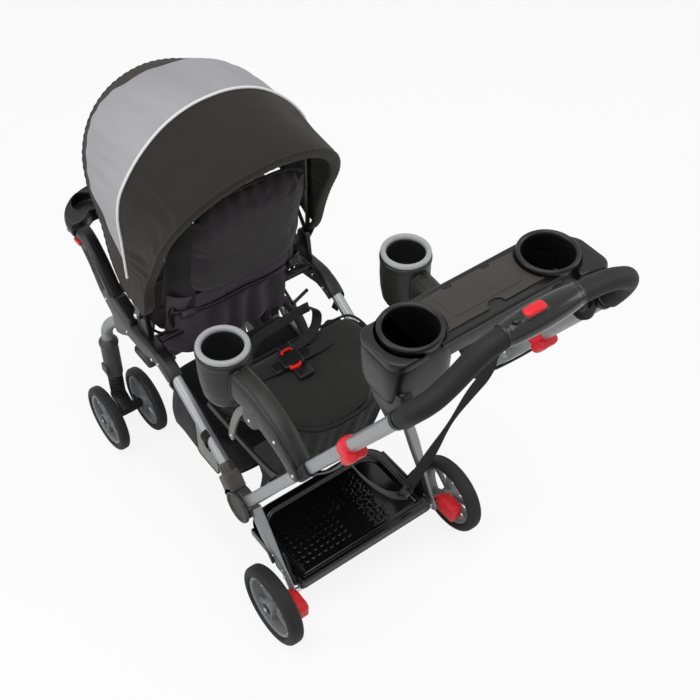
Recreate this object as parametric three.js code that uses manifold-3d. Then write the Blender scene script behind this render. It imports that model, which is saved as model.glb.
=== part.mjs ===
// A sit and stand stroller: a seat in front under a canopy, a jump seat and a standing platform behind it.
// Millimetres, +Z up, +X to the stroller's left, -Y the way it travels. The floor is z = 0.
import * as THREE from "three";
import { mergeVertices } from "three/addons/utils/BufferGeometryUtils.js";
import Module from "manifold-3d";

const wasm = await Module();
wasm.setup();

// Clearances and cuts
const gap = 0.3; // between two pieces that touch
const running = 0.5; // round a shaft that turns
const over = 3; // how far a cutting tool runs past what it cuts
const weld = 0.001;

// Wheels and how they stand
const rearTrack = 476;
const wheelBase = 654;
const rearWheel = { radius: 92, width: 35, wall: 20, hubRadius: 17, boreRadius: 5.5 };
const frontWheel = { radius: 82, width: 26, wall: 17, hubRadius: 15, boreRadius: 4.5 };
const casterTrack = 416;
const dualSpacing = 101;
const casterTrail = 38;
const rearAxle = { y: 230, z: rearWheel.radius, radius: 5, overhang: 12 };
const frontAxle = { y: rearAxle.y - wheelBase, z: frontWheel.radius, radius: 4 };
const swivelY = frontAxle.y - casterTrail;

// The two side frames
const frameX = 204; // from the middle plane to the middle of a side frame
const tubeRadius = 12.5;
const hub = {
  lead: 139,
  rise: 173,
  radius: 37,
  capThickness: 10,
  pinRadius: 6,
  socketWall: 4.5,
  socketFrom: 9,
  socketLength: 46,
};
const hubPoint = { y: rearAxle.y - hub.lead, z: rearAxle.z + hub.rise };
const sideTube = { startY: -31, startZ: 36, run: 228, climb: 142 };
const housingWidth = 32;
const housingBevel = 6;

// The handle
const handleAngle = THREE.MathUtils.degToRad(56.6);
const handleLength = 838;
const handleTube = {
  radius: 12,
  upperRadius: 13,
  eyeRadius: 16,
  eyeWidth: 18,
  neck: 40,
  lap: 26,
  collarAt: 630,
};

const rad = THREE.MathUtils.degToRad;
const v3 = (x, y, z) => new THREE.Vector3(x, y, z);
const sideAxes = new THREE.Matrix4().makeBasis(v3(0, 1, 0), v3(0, 0, 1), v3(1, 0, 0));

// Turns a geometry's triangles round where its volume comes out negative, so that its faces point out.
function faceOut(geometry) {
  const bare = geometry.index ? geometry : mergeVertices(geometry);
  const p = bare.attributes.position;
  const index = bare.index.array;
  const [a, b, c] = [v3(0, 0, 0), v3(0, 0, 0), v3(0, 0, 0)];
  let volume = 0;
  for (let i = 0; i < index.length; i += 3) {
    a.fromBufferAttribute(p, index[i]);
    b.fromBufferAttribute(p, index[i + 1]);
    c.fromBufferAttribute(p, index[i + 2]);
    volume += a.dot(b.cross(c));
  }
  if (volume < 0) {
    for (let i = 0; i < index.length; i += 3) {
      [index[i + 1], index[i + 2]] = [index[i + 2], index[i + 1]];
    }
  }
  return bare;
}

// A geometry with only its places, its shared vertices merged and its empty triangles dropped.
function bareMesh(geometry) {
  const bare = geometry.index ? geometry.toNonIndexed() : geometry.clone();
  bare.deleteAttribute("normal");
  bare.deleteAttribute("uv");
  const merged = mergeVertices(bare, weld);
  const index = merged.index.array;
  const kept = [];
  for (let i = 0; i < index.length; i += 3) {
    const [a, b, c] = index.slice(i, i + 3);
    if (a !== b && b !== c && c !== a) kept.push(a, b, c);
  }
  merged.setIndex(kept);
  return faceOut(merged);
}

function toSolid(geometry) {
  const bare = bareMesh(geometry);
  const triVerts = new Uint32Array(bare.index.array);
  return new wasm.Manifold(new wasm.Mesh({
    numProp: 3,
    vertProperties: bare.attributes.position.array,
    triVerts,
  }));
}

function toGeometry(manifold) {
  const { vertProperties, triVerts } = manifold.getMesh();
  const geometry = new THREE.BufferGeometry();
  geometry.setAttribute("position", new THREE.BufferAttribute(vertProperties, 3));
  geometry.setIndex(new THREE.BufferAttribute(triVerts, 1));
  return geometry;
}

const join = (...pieces) => toGeometry(pieces.map(toSolid).reduce((all, next) => all.add(next)));
const cut = (body, ...tools) => toGeometry(tools.map(toSolid).reduce(
  (left, tool) => left.subtract(tool),
  toSolid(body),
));

// A round bar from one point to another.
function rod(from, to, radius, sides = 16, endRadius = radius) {
  const along = to.clone().sub(from);
  const bar = new THREE.CylinderGeometry(endRadius, radius, along.length(), sides);
  bar.applyQuaternion(new THREE.Quaternion().setFromUnitVectors(v3(0, 1, 0), along.clone().normalize()));
  return bar.translate(...from.clone().add(to).multiplyScalar(1 / 2).toArray());
}

const rodX = (x0, x1, y, z, radius, sides) => rod(v3(x0, y, z), v3(x1, y, z), radius, sides);
const rodZ = (x, y, z0, z1, radius, sides, endRadius) => rod(
  v3(x, y, z0),
  v3(x, y, z1),
  radius,
  sides,
  endRadius,
);

function ellipseShape(a, b, sides) {
  const points = [];
  for (let i = 0; i < sides; i++) {
    const turn = (2 * Math.PI * (i + 1 / 2)) / sides;
    points.push(new THREE.Vector2(a * Math.cos(turn), b * Math.sin(turn)));
  }
  return new THREE.Shape(points);
}

// A tube along a smooth curve through the points. Its section is an ellipse.
function bentTube(points, radius, sides, steps, otherRadius = radius) {
  const extrudePath = new THREE.CatmullRomCurve3(points, false, "centripetal");
  return new THREE.ExtrudeGeometry(ellipseShape(radius, otherRadius, sides), { steps, extrudePath });
}

// An outline in the side plane, (y, z), made a plate between two values of x.
function sidePlate(shape, x0, x1, bevel = 0, bevelSegments = 1) {
  const depth = x1 - x0 - 2 * bevel;
  const plate = new THREE.ExtrudeGeometry(shape, {
    depth,
    bevelEnabled: bevel > 0,
    bevelThickness: bevel,
    bevelSize: bevel,
    bevelOffset: -bevel,
    bevelSegments,
    curveSegments: 5,
  });
  return plate.translate(0, 0, x0 + bevel).applyMatrix4(sideAxes);
}

// An outline in plan, (x, y), made a plate between two heights.
function planPlate(shape, z0, z1, bevel = 0, curveSegments = 6) {
  const plate = new THREE.ExtrudeGeometry(shape, {
    depth: z1 - z0 - 2 * bevel,
    bevelEnabled: bevel > 0,
    bevelThickness: bevel,
    bevelSize: bevel,
    bevelOffset: -bevel,
    bevelSegments: 1,
    curveSegments,
  });
  return plate.translate(0, 0, z0 + bevel);
}

function block(x0, x1, y0, y1, z0, z1) {
  const box = new THREE.BoxGeometry(x1 - x0, y1 - y0, z1 - z0);
  return box.translate((x0 + x1) / 2, (y0 + y1) / 2, (z0 + z1) / 2);
}

function roundedRect(x0, x1, y0, y1, r, steps = 3) {
  const points = [];
  const corners = [
    [x1 - r, y0 + r, -Math.PI / 2],
    [x1 - r, y1 - r, 0],
    [x0 + r, y1 - r, Math.PI / 2],
    [x0 + r, y0 + r, Math.PI],
  ];
  for (const [x, y, start] of corners)
    for (let i = 0; i <= steps; i++) {
      const turn = start + ((Math.PI / 2) * i) / steps;
      points.push(new THREE.Vector2(x + r * Math.cos(turn), y + r * Math.sin(turn)));
    }
  return new THREE.Shape(points);
}

// A band that follows stations {y, z, half}: a smooth middle line with a half width at each.
function bandShape(stations, steps) {
  const middle = new THREE.CatmullRomCurve3(stations.map(({ y, z }) => v3(y, z, 0)));
  const halves = new THREE.CatmullRomCurve3(stations.map(({ half }, i) => v3(i, half, 0)));
  const [left, right] = [[], []];
  for (let i = 0; i <= steps; i++) {
    const at = middle.getPoint(i / steps);
    const way = middle.getTangent(i / steps);
    const half = halves.getPoint(i / steps).y;
    left.push(new THREE.Vector2(at.x - way.y * half, at.y + way.x * half));
    right.unshift(new THREE.Vector2(at.x + way.y * half, at.y - way.x * half));
  }
  return new THREE.Shape([...left, ...right]);
}

// A profile of [radius, height] turned about the Z axis through (x, y), closed or with both ends on the axis
function turned(profile, segments, x = 0, y = 0) {
  const lathe = new THREE.LatheGeometry(profile.map(([r, h]) => new THREE.Vector2(r, h)), segments);
  return lathe.rotateX(Math.PI / 2).translate(x, y, 0);
}

// The same about an axis along X through (y, z); heights count outwards from x.
function turnedX(profile, segments, x, y, z) {
  const lathe = new THREE.LatheGeometry(profile.map(([r, h]) => new THREE.Vector2(r, h)), segments);
  return lathe.rotateZ(-Math.PI / 2).translate(x, y, z);
}

// Rings of equally many points, joined one to the next, the first and last closed by a fan.
function loft(rings) {
  const count = rings[0].length;
  const position = rings.flat().flatMap((p) => [p.x, p.y, p.z]);
  const index = [];
  for (let r = 0; r + 1 < rings.length; r++)
    for (let i = 0; i < count; i++) {
      const j = (i + 1) % count;
      const [a, b, c, d] = [r * count + i, r * count + j, (r + 1) * count + j, (r + 1) * count + i];
      index.push(a, b, c, a, c, d);
    }
  for (const [ring, first, turn] of [
    [rings[0], 0, 1],
    [rings.at(-1), (rings.length - 1) * count, -1],
  ]) {
    const middle = ring.reduce((sum, p) => sum.add(p), v3(0, 0, 0)).multiplyScalar(1 / count);
    const at = position.length / 3;
    position.push(middle.x, middle.y, middle.z);
    for (let i = 0; i < count; i++) {
      const [p, q] = [first + i, first + ((i + 1) % count)];
      index.push(...(turn > 0 ? [at, q, p] : [at, p, q]));
    }
  }
  const geometry = new THREE.BufferGeometry();
  geometry.setAttribute("position", new THREE.Float32BufferAttribute(position, 3));
  geometry.setIndex(index);
  return faceOut(geometry);
}

// A sheet of even thickness: a grid of points and the way out at each, closed round its four edges.
function sheet(points, ways, thickness) {
  const [rows, columns] = [points.length, points[0].length];
  const rings = [];
  for (let c = 0; c < columns; c++) {
    const front = points.map((row, r) => row[c].clone().addScaledVector(ways[r][c], thickness));
    const back = points.map((row) => row[c]).reverse();
    rings.push([...front, ...back]);
  }
  return rows > 0 ? loft(rings) : null;
}

const black = { color: 0x1b1b1c, roughness: 0.45, metalness: 0 };
const finishes = {
  silver: { color: 0xa4a6a8, roughness: 0.35, metalness: 0.6 },
  steel: { color: 0xb4b6b8, roughness: 0.3, metalness: 0.9 },
  blackPlastic: black,
  charcoalPlastic: { color: 0x4a4846, roughness: 0.5, metalness: 0 },
  glossBlack: { color: 0x0e0e0f, roughness: 0.2, metalness: 0 },
  rubber: { color: 0x2b2b2b, roughness: 0.8, metalness: 0 },
  rimGrey: { color: 0x8a8c8e, roughness: 0.45, metalness: 0 },
  ringGrey: { color: 0xa6a8aa, roughness: 0.4, metalness: 0 },
  red: { color: 0xd0112b, roughness: 0.35, metalness: 0 },
  blackFabric: { color: 0x222224, roughness: 0.9, metalness: 0 },
  greyFabric: { color: 0x9a999e, roughness: 0.9, metalness: 0 },
  webbing: { color: 0x1a1a1a, roughness: 0.9, metalness: 0 },
};

const stroller = new THREE.Group();
const leftSide = new THREE.Group();
const rightSide = new THREE.Group();
rightSide.scale.x = -1; // the right side mirrors the left
stroller.add(leftSide, rightSide);

function place(name, geometry, finish, parent = stroller) {
  const mesh = new THREE.Mesh(bareMesh(geometry), new THREE.MeshStandardMaterial(finishes[finish]));
  mesh.name = name;
  parent.add(mesh);
  return mesh;
}

function placeBoth(name, geometry, finish) {
  place(`${name}_left`, geometry, finish, leftSide);
  place(`${name}_right`, geometry, finish, rightSide);
}

// Wheels
// A tyre is a ring with a crowned tread; its inner face sits on the rim.
function tyre({ radius, width, wall }) {
  const treadShares = [
    [0, -0.36],
    [0.5, -0.5],
    [0.92, -0.3],
    [1, 0],
    [0.92, 0.3],
    [0.5, 0.5],
    [0, 0.36],
  ];
  const inner = radius - wall;
  const profile = treadShares.map(([out, across]) => [inner + wall * out, width * across]);
  return turnedX([...profile, profile[0]], 20, 0, 0, 0);
}

// A rim is a channel ring, a hub barrel and three pairs of spokes.
const rimChannel = 7;
const rimWidthShare = 0.66;
const spoke = { thickness: 9, hubWidth: 11, rimWidth: 8, pairs: 3 };
const spokeSpread = rad(19);
function rim({ radius, width, wall, hubRadius, boreRadius }) {
  const outer = radius - wall - gap;
  const half = (width * rimWidthShare) / 2;
  const ring = turnedX(
    [
      [outer - rimChannel, -half],
      [outer, -half],
      [outer, half],
      [outer - rimChannel, half],
      [outer - rimChannel, -half],
    ],
    20, 0, 0, 0,
  );
  const barrel = rodX(-width / 2, width / 2, 0, 0, hubRadius, 10);
  const spokes = [];
  for (let pair = 0; pair < spoke.pairs; pair++)
    for (const side of [-1, 1]) {
      const [near, far] = [hubRadius / 2, outer - rimChannel / 2];
      const shape = new THREE.Shape([
        new THREE.Vector2(near, -spoke.hubWidth / 2),
        new THREE.Vector2(far, -spoke.rimWidth / 2),
        new THREE.Vector2(far, spoke.rimWidth / 2),
        new THREE.Vector2(near, spoke.hubWidth / 2),
      ]);
      const turn = (2 * Math.PI * pair) / spoke.pairs + side * spokeSpread;
      spokes.push(sidePlate(shape, -spoke.thickness / 2, spoke.thickness / 2).rotateX(turn));
    }
  return cut(join(ring, barrel, ...spokes), rodX(-width, width, 0, 0, boreRadius, 10));
}

const rearRim = rim(rearWheel);
const rearTyre = tyre(rearWheel);
const frontRim = rim(frontWheel);
const frontTyre = tyre(frontWheel);
for (const [side, parent] of [["left", leftSide], ["right", rightSide]]) {
  place(`rear_tyre_${side}`, rearTyre, "rubber", parent).position.set(rearTrack / 2, rearAxle.y, rearAxle.z);
  place(`rear_rim_${side}`, rearRim, "rimGrey", parent).position.set(rearTrack / 2, rearAxle.y, rearAxle.z);
  for (const [where, out] of [["outer", 1], ["inner", -1]]) {
    const x = casterTrack / 2 + (out * dualSpacing) / 2;
    const tyreMesh = place(`front_tyre_${side}_${where}`, frontTyre, "rubber", parent);
    tyreMesh.position.set(x, frontAxle.y, frontAxle.z);
    const rimMesh = place(`front_rim_${side}_${where}`, frontRim, "rimGrey", parent);
    rimMesh.position.set(x, frontAxle.y, frontAxle.z);
  }
}

// Rear axle: one rod from wheel to wheel, with a round head past each rim
const axleHead = { radius: 9, length: 4 };
const axleEnd = rearTrack / 2 + rearWheel.width / 2 + gap;
const axleHeads = [-1, 1].map((s) =>
  rodX(s * axleEnd, s * (axleEnd + axleHead.length), rearAxle.y, rearAxle.z, axleHead.radius, 10),
);
place(
  "rear_axle",
  join(rodX(-axleEnd - 1, axleEnd + 1, rearAxle.y, rearAxle.z, rearAxle.radius, 10), ...axleHeads),
  "steel",
);

// Front casters
// A fork turns on the strut's stem and carries the axle pin of the two wheels behind it.
const casterX = casterTrack / 2;
const fork = { topZ: 112, collarRadius: 15, pinRadius: 5, pinTop: 150, bodyRadius: 14, neckRadius: 11 };
const barrelHalf = dualSpacing / 2 - frontWheel.width / 2 - gap;
const pinHalf = dualSpacing / 2 + frontWheel.width / 2 + gap;
const pinHead = { radius: 7, length: 3 };
const forkPieces = [
  rodX(casterX - barrelHalf, casterX + barrelHalf, frontAxle.y, frontAxle.z, fork.bodyRadius, 10),
  rodX(casterX - pinHalf, casterX + pinHalf, frontAxle.y, frontAxle.z, frontAxle.radius, 10),
  rod(
    v3(casterX, swivelY, fork.topZ - fork.collarRadius),
    v3(casterX, frontAxle.y, frontAxle.z),
    fork.neckRadius,
    14,
    fork.bodyRadius,
  ),
  rodZ(
    casterX,
    swivelY,
    fork.topZ - 2 * fork.collarRadius,
    fork.topZ,
    fork.neckRadius,
    18,
    fork.collarRadius,
  ),
  rodZ(casterX, swivelY, fork.topZ - gap, fork.pinTop, fork.pinRadius, 10),
];
for (const s of [-1, 1])
  forkPieces.push(rodX(
    casterX + s * (pinHalf - gap),
    casterX + s * (pinHalf + pinHead.length),
    frontAxle.y,
    frontAxle.z,
    pinHead.radius,
    10,
  ));
placeBoth("caster_fork", join(...forkPieces), "blackPlastic");

// Struts: the boot and its stem slide up inside the sleeve on a spring
const sleeve = { bottom: 172, top: 292, radius: 20, lipRadius: 18.5, wall: 2.2, tubeSeat: 22 };
const legTube = { radius: 14 };
const strutTravel = 10;
const stemRadius = 11;
const boot = { rings: 5, bottomRadius: 15, ringRadius: 17, waistRadius: 14.5 };
const bootTop = sleeve.bottom + strutTravel / 2;
const bootProfile = [[fork.pinRadius + running, fork.topZ + gap]];
bootProfile.push([boot.bottomRadius, fork.topZ + gap]);
const bootPitch = (bootTop - fork.topZ - gap) / boot.rings;
for (let i = 0; i < boot.rings; i++) {
  const low = fork.topZ + gap + i * bootPitch;
  bootProfile.push([boot.ringRadius, low + bootPitch / 3]);
  bootProfile.push([boot.waistRadius, low + bootPitch * (5 / 6)]);
}
const stemTop = sleeve.top - sleeve.tubeSeat - strutTravel - 2 * boot.ringRadius;
bootProfile.push([stemRadius, bootTop], [stemRadius, stemTop], [0, stemTop], [0, fork.pinTop + running]);
bootProfile.push([fork.pinRadius + running, fork.pinTop + running], bootProfile[0]);
placeBoth("strut_boot", bareMesh(turned(bootProfile, 10, casterX, swivelY)), "blackPlastic");

const boreTop = stemTop + strutTravel + running;
const sleeveProfile = [
  [boot.ringRadius + running, sleeve.bottom],
  [sleeve.radius, sleeve.bottom],
  [sleeve.radius, sleeve.top - 2 * tubeRadius],
  [sleeve.lipRadius, sleeve.top - tubeRadius],
  [sleeve.lipRadius, sleeve.top],
  [legTube.radius + 3 * gap, sleeve.top],
  [legTube.radius + 3 * gap, sleeve.top - sleeve.tubeSeat],
  [0, sleeve.top - sleeve.tubeSeat],
  [0, boreTop],
  [stemRadius + running, boreTop],
  [stemRadius + running, bootTop + strutTravel + running],
  [boot.ringRadius + running, bootTop + strutTravel + running],
  [boot.ringRadius + running, sleeve.bottom],
];
placeBoth("strut_sleeve", bareMesh(turned(sleeveProfile, 12, casterX, swivelY)), "blackPlastic");

// Front leg: a bent tube from the housing down into the sleeve
const legBend = { reach: 62, rise: 186, dropShare: 0.3 };
const legTop = v3(frameX, swivelY + legBend.reach, sleeve.top + legBend.rise);
const legPoints = [
  legTop,
  v3(
    frameX,
    swivelY + legBend.reach * legBend.dropShare,
    sleeve.top + legBend.rise * (1 - legBend.dropShare),
  ),
  v3(casterX, swivelY, sleeve.top + legBend.rise * legBend.dropShare),
  v3(casterX, swivelY, sleeve.top + gap),
  v3(casterX, swivelY, sleeve.top - sleeve.tubeSeat + gap),
];
placeBoth("front_leg", bareMesh(bentTube(legPoints, legTube.radius, 12, 7)), "silver");

// Side housings: a boomerang from the side tube past the canopy's ear and up to the child's tray
const tubeRear = v3(frameX, hubPoint.y + sideTube.startY, hubPoint.z + sideTube.startZ);
const tubeFront = v3(frameX, tubeRear.y - sideTube.run, tubeRear.z + sideTube.climb);
const tubeWay = tubeFront.clone().sub(tubeRear).normalize();
const trayReach = 121;
const trayEdgeY = legTop.y - trayReach;
const trayBottom = 575;
const housing = { rearHalf: 17, midHalf: 25, kneeHalf: 27, armHalf: 20 };
const housingPath = { midBack: 102, midDrop: 1, kneeStart: 55, kneeDrop: 28, kneeRise: 2 };
Object.assign(housingPath, { armStart: 25, armDrop: 45, armEnd: 62, armEndDrop: 7 });
const housingRear = tubeFront.clone().addScaledVector(tubeWay, -housing.rearHalf);
const housingStations = [
  { y: housingRear.y, z: housingRear.z, half: housing.rearHalf },
  { y: housingRear.y - 40, z: housingRear.z + 14, half: housing.rearHalf + 3 },
  { y: tubeFront.y - housingPath.midBack, z: tubeFront.z - housingPath.midDrop, half: housing.midHalf },
  { y: legTop.y + housingPath.kneeStart, z: legTop.z - housingPath.kneeDrop, half: housing.kneeHalf },
  { y: legTop.y + housingPath.kneeRise, z: legTop.z + housingPath.kneeRise, half: housing.kneeHalf },
  { y: legTop.y - housingPath.armStart, z: trayBottom - housingPath.armDrop, half: housing.armHalf + 2 },
  { y: legTop.y - housingPath.armEnd, z: trayBottom - housingPath.armEndDrop, half: housing.armHalf },
  { y: trayEdgeY + 2 * housing.armHalf, z: trayBottom + 6, half: housing.armHalf - 2 },
];
const canopyPivot = { y: legTop.y + 136, z: tubeFront.z + 82, earRadius: 20 };
const [housingIn, housingOut] = [frameX - housingWidth / 2, frameX + housingWidth / 2];
const housingBand = sidePlate(bandShape(housingStations, 15), housingIn, housingOut, housingBevel, 1);
const earOut = housingOut - 12;
const earFoot = { y: canopyPivot.y + 2, z: canopyPivot.z - 73, radius: 34 };
const earShape = new THREE.Shape();
earShape.absarc(canopyPivot.y, canopyPivot.z, canopyPivot.earRadius, 0, Math.PI);
earShape.absarc(earFoot.y, earFoot.z, earFoot.radius, Math.PI, 2 * Math.PI);
const ear = sidePlate(earShape, housingIn + 4, earOut, 3, 1);
const lug = { radius: 16, height: 15 };
const lugY = trayEdgeY - lug.radius - 1;
const trayLug = rodZ(frameX, lugY, trayBottom - gap - lug.height, trayBottom - gap, lug.radius, 10);
const lugArm = block(
  frameX - lug.radius,
  frameX + lug.radius,
  lugY,
  trayEdgeY + 2 * housing.armHalf + 6,
  trayBottom - gap - lug.height,
  trayBottom - gap,
);
const pivotPinHole = rodX(housingIn - over, housingOut + over, canopyPivot.y, canopyPivot.z, 4, 10);
const trayButtonAt = {
  y: trayEdgeY + 29,
  z: trayBottom - 9,
  length: 26,
  height: 10,
  depth: 6,
  travel: 4,
  roundShare: 0.9,
};
const buttonShape = (grow) =>
  roundedRect(
    trayButtonAt.y - trayButtonAt.length / 2 - grow,
    trayButtonAt.y + trayButtonAt.length / 2 + grow,
    trayButtonAt.z - trayButtonAt.height / 2 - grow,
    trayButtonAt.z + trayButtonAt.height / 2 + grow,
    (trayButtonAt.height / 2 + grow) * trayButtonAt.roundShare,
  );
const tubeBore = rod(tubeFront.clone().addScaledVector(tubeWay, gap), tubeRear, tubeRadius + gap, 10);
const legBore = bentTube(legPoints, legTube.radius + gap, 12, 7);
const housingSolid = cut(join(housingBand, ear, trayLug, lugArm), tubeBore, legBore, pivotPinHole);
const buttonPocket = sidePlate(
  buttonShape(running),
  housingOut - trayButtonAt.depth - trayButtonAt.travel,
  housingOut + over,
);
place("side_housing_left", cut(housingSolid, buttonPocket), "blackPlastic", leftSide);
place("side_housing_right", housingSolid, "blackPlastic", rightSide);
place(
  "tray_button",
  sidePlate(buttonShape(0), housingOut - trayButtonAt.depth, housingOut + 3, 1, 1),
  "red",
  leftSide,
);

// Side tubes
placeBoth("side_tube", bareMesh(rod(tubeRear, tubeFront, tubeRadius, 10)), "silver");

// Fold hubs: a cap outside, a pin through the pivot and a socket on the side tube
const capIn = frameX + handleTube.radius + gap + 1;
const capOut = capIn + hub.capThickness;
const socketEnd = tubeRear.clone().addScaledVector(tubeWay, hub.socketFrom);
const socketStart = tubeRear.clone().addScaledVector(tubeWay, hub.socketLength);
const socketRadius = tubeRadius + hub.socketWall;
const capShape = new THREE.Shape();
capShape.absarc(hubPoint.y, hubPoint.z, hub.radius, 0, 2 * Math.PI);
const web = bandShape(
  [
    { y: hubPoint.y, z: hubPoint.z, half: hub.radius - 8 },
    { y: (socketEnd.y + hubPoint.y) / 2, z: (socketEnd.z + hubPoint.z) / 2, half: hub.radius - 12 },
    { y: socketStart.y, z: socketStart.z, half: socketRadius },
  ],
  8,
);
const pinIn = frameX - handleTube.eyeWidth / 2 - 14;
const hubBody = join(
  sidePlate(capShape, capIn, capOut, 3),
  sidePlate(web, capIn, capOut - 1, 2),
  rodX(pinIn, capIn + 1, hubPoint.y, hubPoint.z, hub.pinRadius, 10),
  rod(socketEnd, socketStart, socketRadius, 10),
);
placeBoth("hub", cut(hubBody, rod(tubeRear, tubeFront, tubeRadius + gap, 10)), "charcoalPlastic");

// Rear legs: an eye on the hub's pin, a tube and a flat end that holds the axle
const legX = { in: 184, out: 208, eyeIn: 184, eyeOut: 193.5 };
const rearLeg = { startY: 27, startZ: -3, radius: 12, endRadius: 14, plate: 7, flatShare: 0.74 };
const rearLegTop = v3((legX.in + legX.out) / 2, hubPoint.y + rearLeg.startY, hubPoint.z + rearLeg.startZ);
const rearLegFoot = v3(legX.in + rearLeg.plate / 2, rearAxle.y, rearAxle.z);
const flatFrom = rearLegTop.clone().lerp(rearLegFoot, rearLeg.flatShare);
const eyeDisc = rodX(legX.eyeIn, legX.eyeOut, hubPoint.y, hubPoint.z, handleTube.eyeRadius, 10);
const eyeWeb = sidePlate(
  bandShape(
    [
      { y: hubPoint.y, z: hubPoint.z, half: handleTube.eyeRadius - 2 },
      { y: rearLegTop.y, z: rearLegTop.z, half: rearLeg.radius },
      { y: rearLegTop.y + 12, z: rearLegTop.z - 20, half: rearLeg.radius },
    ],
    6,
  ),
  legX.eyeIn,
  legX.eyeOut,
);
const footPlate = sidePlate(
  bandShape(
    [
      {
        y: rearLegTop.clone().lerp(rearLegFoot, 0.5).y,
        z: rearLegTop.clone().lerp(rearLegFoot, 0.5).z,
        half: rearLeg.radius - 2,
      },
      { y: flatFrom.y, z: flatFrom.z, half: rearLeg.radius },
      { y: rearAxle.y, z: rearAxle.z, half: rearLeg.endRadius - 1 },
    ],
    6,
  ),
  legX.in,
  legX.in + rearLeg.plate,
);
const footDisc = rodX(legX.in, legX.in + rearLeg.plate, rearAxle.y, rearAxle.z, rearLeg.endRadius, 10);
const legBody = join(
  rod(rearLegTop, flatFrom, rearLeg.radius, 18, rearLeg.radius - 3),
  eyeDisc,
  eyeWeb,
  footPlate,
  footDisc,
);
placeBoth(
  "rear_leg",
  cut(
    legBody,
    rodX(legX.in - over, legX.out + over, hubPoint.y, hubPoint.z, hub.pinRadius + running, 10),
    rodX(legX.in - over, legX.out + over, rearAxle.y, rearAxle.z, rearAxle.radius + gap, 10),
  ),
  "silver",
);

// Platform: a moulded deck with a raised rim, and the housings that hold the axle
const deck = {
  half: legX.in - 12,
  front: 28,
  back: 232,
  bottom: 97,
  top: 122,
  rim: 12,
  sink: 7,
  corner: 30,
};
const deckPlate = planPlate(
  roundedRect(-deck.half, deck.half, deck.front, deck.back, deck.corner),
  deck.bottom,
  deck.top,
  3,
);
const deckSquare = block(
  -deck.half,
  deck.half,
  deck.back - 2 * deck.corner,
  deck.back,
  deck.bottom,
  deck.top - 2,
);
const deckSink = planPlate(
  roundedRect(
    -deck.half + deck.rim,
    deck.half - deck.rim,
    deck.front + deck.rim,
    deck.back - deck.rim,
    deck.corner - 6,
  ),
  deck.top - deck.sink,
  deck.top + over,
);
const deckUnder = planPlate(
  roundedRect(-deck.half + 6, deck.half - 6, deck.front + 6, deck.back - 6, deck.corner - 6),
  deck.bottom - over,
  deck.top - deck.sink - 4,
);
const axleArms = [-1, 1].flatMap((s) => {
  const [x0, x1] = s > 0 ? [deck.half - 26, legX.in - gap] : [-legX.in + gap, -deck.half + 26];
  return [
    rodX(x0, x1, rearAxle.y, rearAxle.z, 15, 10),
    block(x0, x1, rearAxle.y - 30, rearAxle.y, rearAxle.z - 8, deck.top - 4),
  ];
});
const deckBody = join(cut(join(deckPlate, deckSquare), deckSink, deckUnder), ...axleArms);
place(
  "platform",
  cut(deckBody, rodX(-legX.out, legX.out, rearAxle.y, rearAxle.z, rearAxle.radius + gap, 10)),
  "glossBlack",
);

// Brake pedals: a ring on the axle and a broad red foot pad behind it
const pedal = { in: 194, out: 216, ringRadius: 12, padFrom: 22, padTo: 58, padRise: 20, padHalf: 6 };
const pedalRing = rodX(pedal.in, pedal.out, rearAxle.y, rearAxle.z, pedal.ringRadius, 10);
const pedalPad = sidePlate(
  bandShape(
    [
      { y: rearAxle.y, z: rearAxle.z, half: pedal.ringRadius - 2 },
      { y: rearAxle.y + pedal.padFrom, z: rearAxle.z + pedal.padRise, half: pedal.padHalf + 3 },
      {
        y: rearAxle.y + (pedal.padFrom + pedal.padTo) / 2,
        z: rearAxle.z + pedal.padRise + 8,
        half: pedal.padHalf + 1,
      },
      { y: rearAxle.y + pedal.padTo, z: rearAxle.z + pedal.padRise - 4, half: pedal.padHalf },
    ],
    10,
  ),
  pedal.in,
  pedal.out,
  2,
  1,
);
placeBoth(
  "brake_pedal",
  cut(
    join(pedalRing, pedalPad),
    rodX(pedal.in - over, pedal.out + over, rearAxle.y, rearAxle.z, rearAxle.radius + running, 10),
  ),
  "red",
);

// Handle tubes: an eye on the hub's pin, a slim lower tube and a thicker upper one
const grip = { radius: 17.5, sweep: 62, rise: 133, socket: 24 };
const handleWay = v3(0, Math.cos(handleAngle), Math.sin(handleAngle));
const handleAt = (along, x = frameX) => v3(x, hubPoint.y, hubPoint.z).addScaledVector(handleWay, along);
const eyeBody = rodX(
  frameX - handleTube.eyeWidth / 2,
  frameX + handleTube.eyeWidth / 2,
  hubPoint.y,
  hubPoint.z,
  handleTube.eyeRadius,
  10,
);
const lowerTube = rod(
  handleAt(handleTube.neck),
  handleAt(handleTube.collarAt + handleTube.lap),
  handleTube.radius,
  12,
);
const neckBand = bandShape(
  [0, 1, 2].map((step) => {
    const at = handleAt((handleTube.neck * 1.4 * step) / 2);
    return { y: at.y, z: at.z, half: handleTube.radius - gap * step };
  }),
  2,
);
const neck = sidePlate(neckBand, frameX - handleTube.eyeWidth / 2, frameX + handleTube.eyeWidth / 2);
const upperTube = rod(
  handleAt(handleTube.collarAt - handleTube.lap),
  handleAt(handleLength + grip.socket),
  handleTube.upperRadius,
  10,
);
const eyeBore = rodX(
  frameX - handleTube.eyeWidth,
  frameX + handleTube.eyeWidth,
  hubPoint.y,
  hubPoint.z,
  hub.pinRadius + running,
  10,
);
placeBoth("handle_tube", cut(join(eyeBody, neck, lowerTube, upperTube), eyeBore), "silver");

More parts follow.
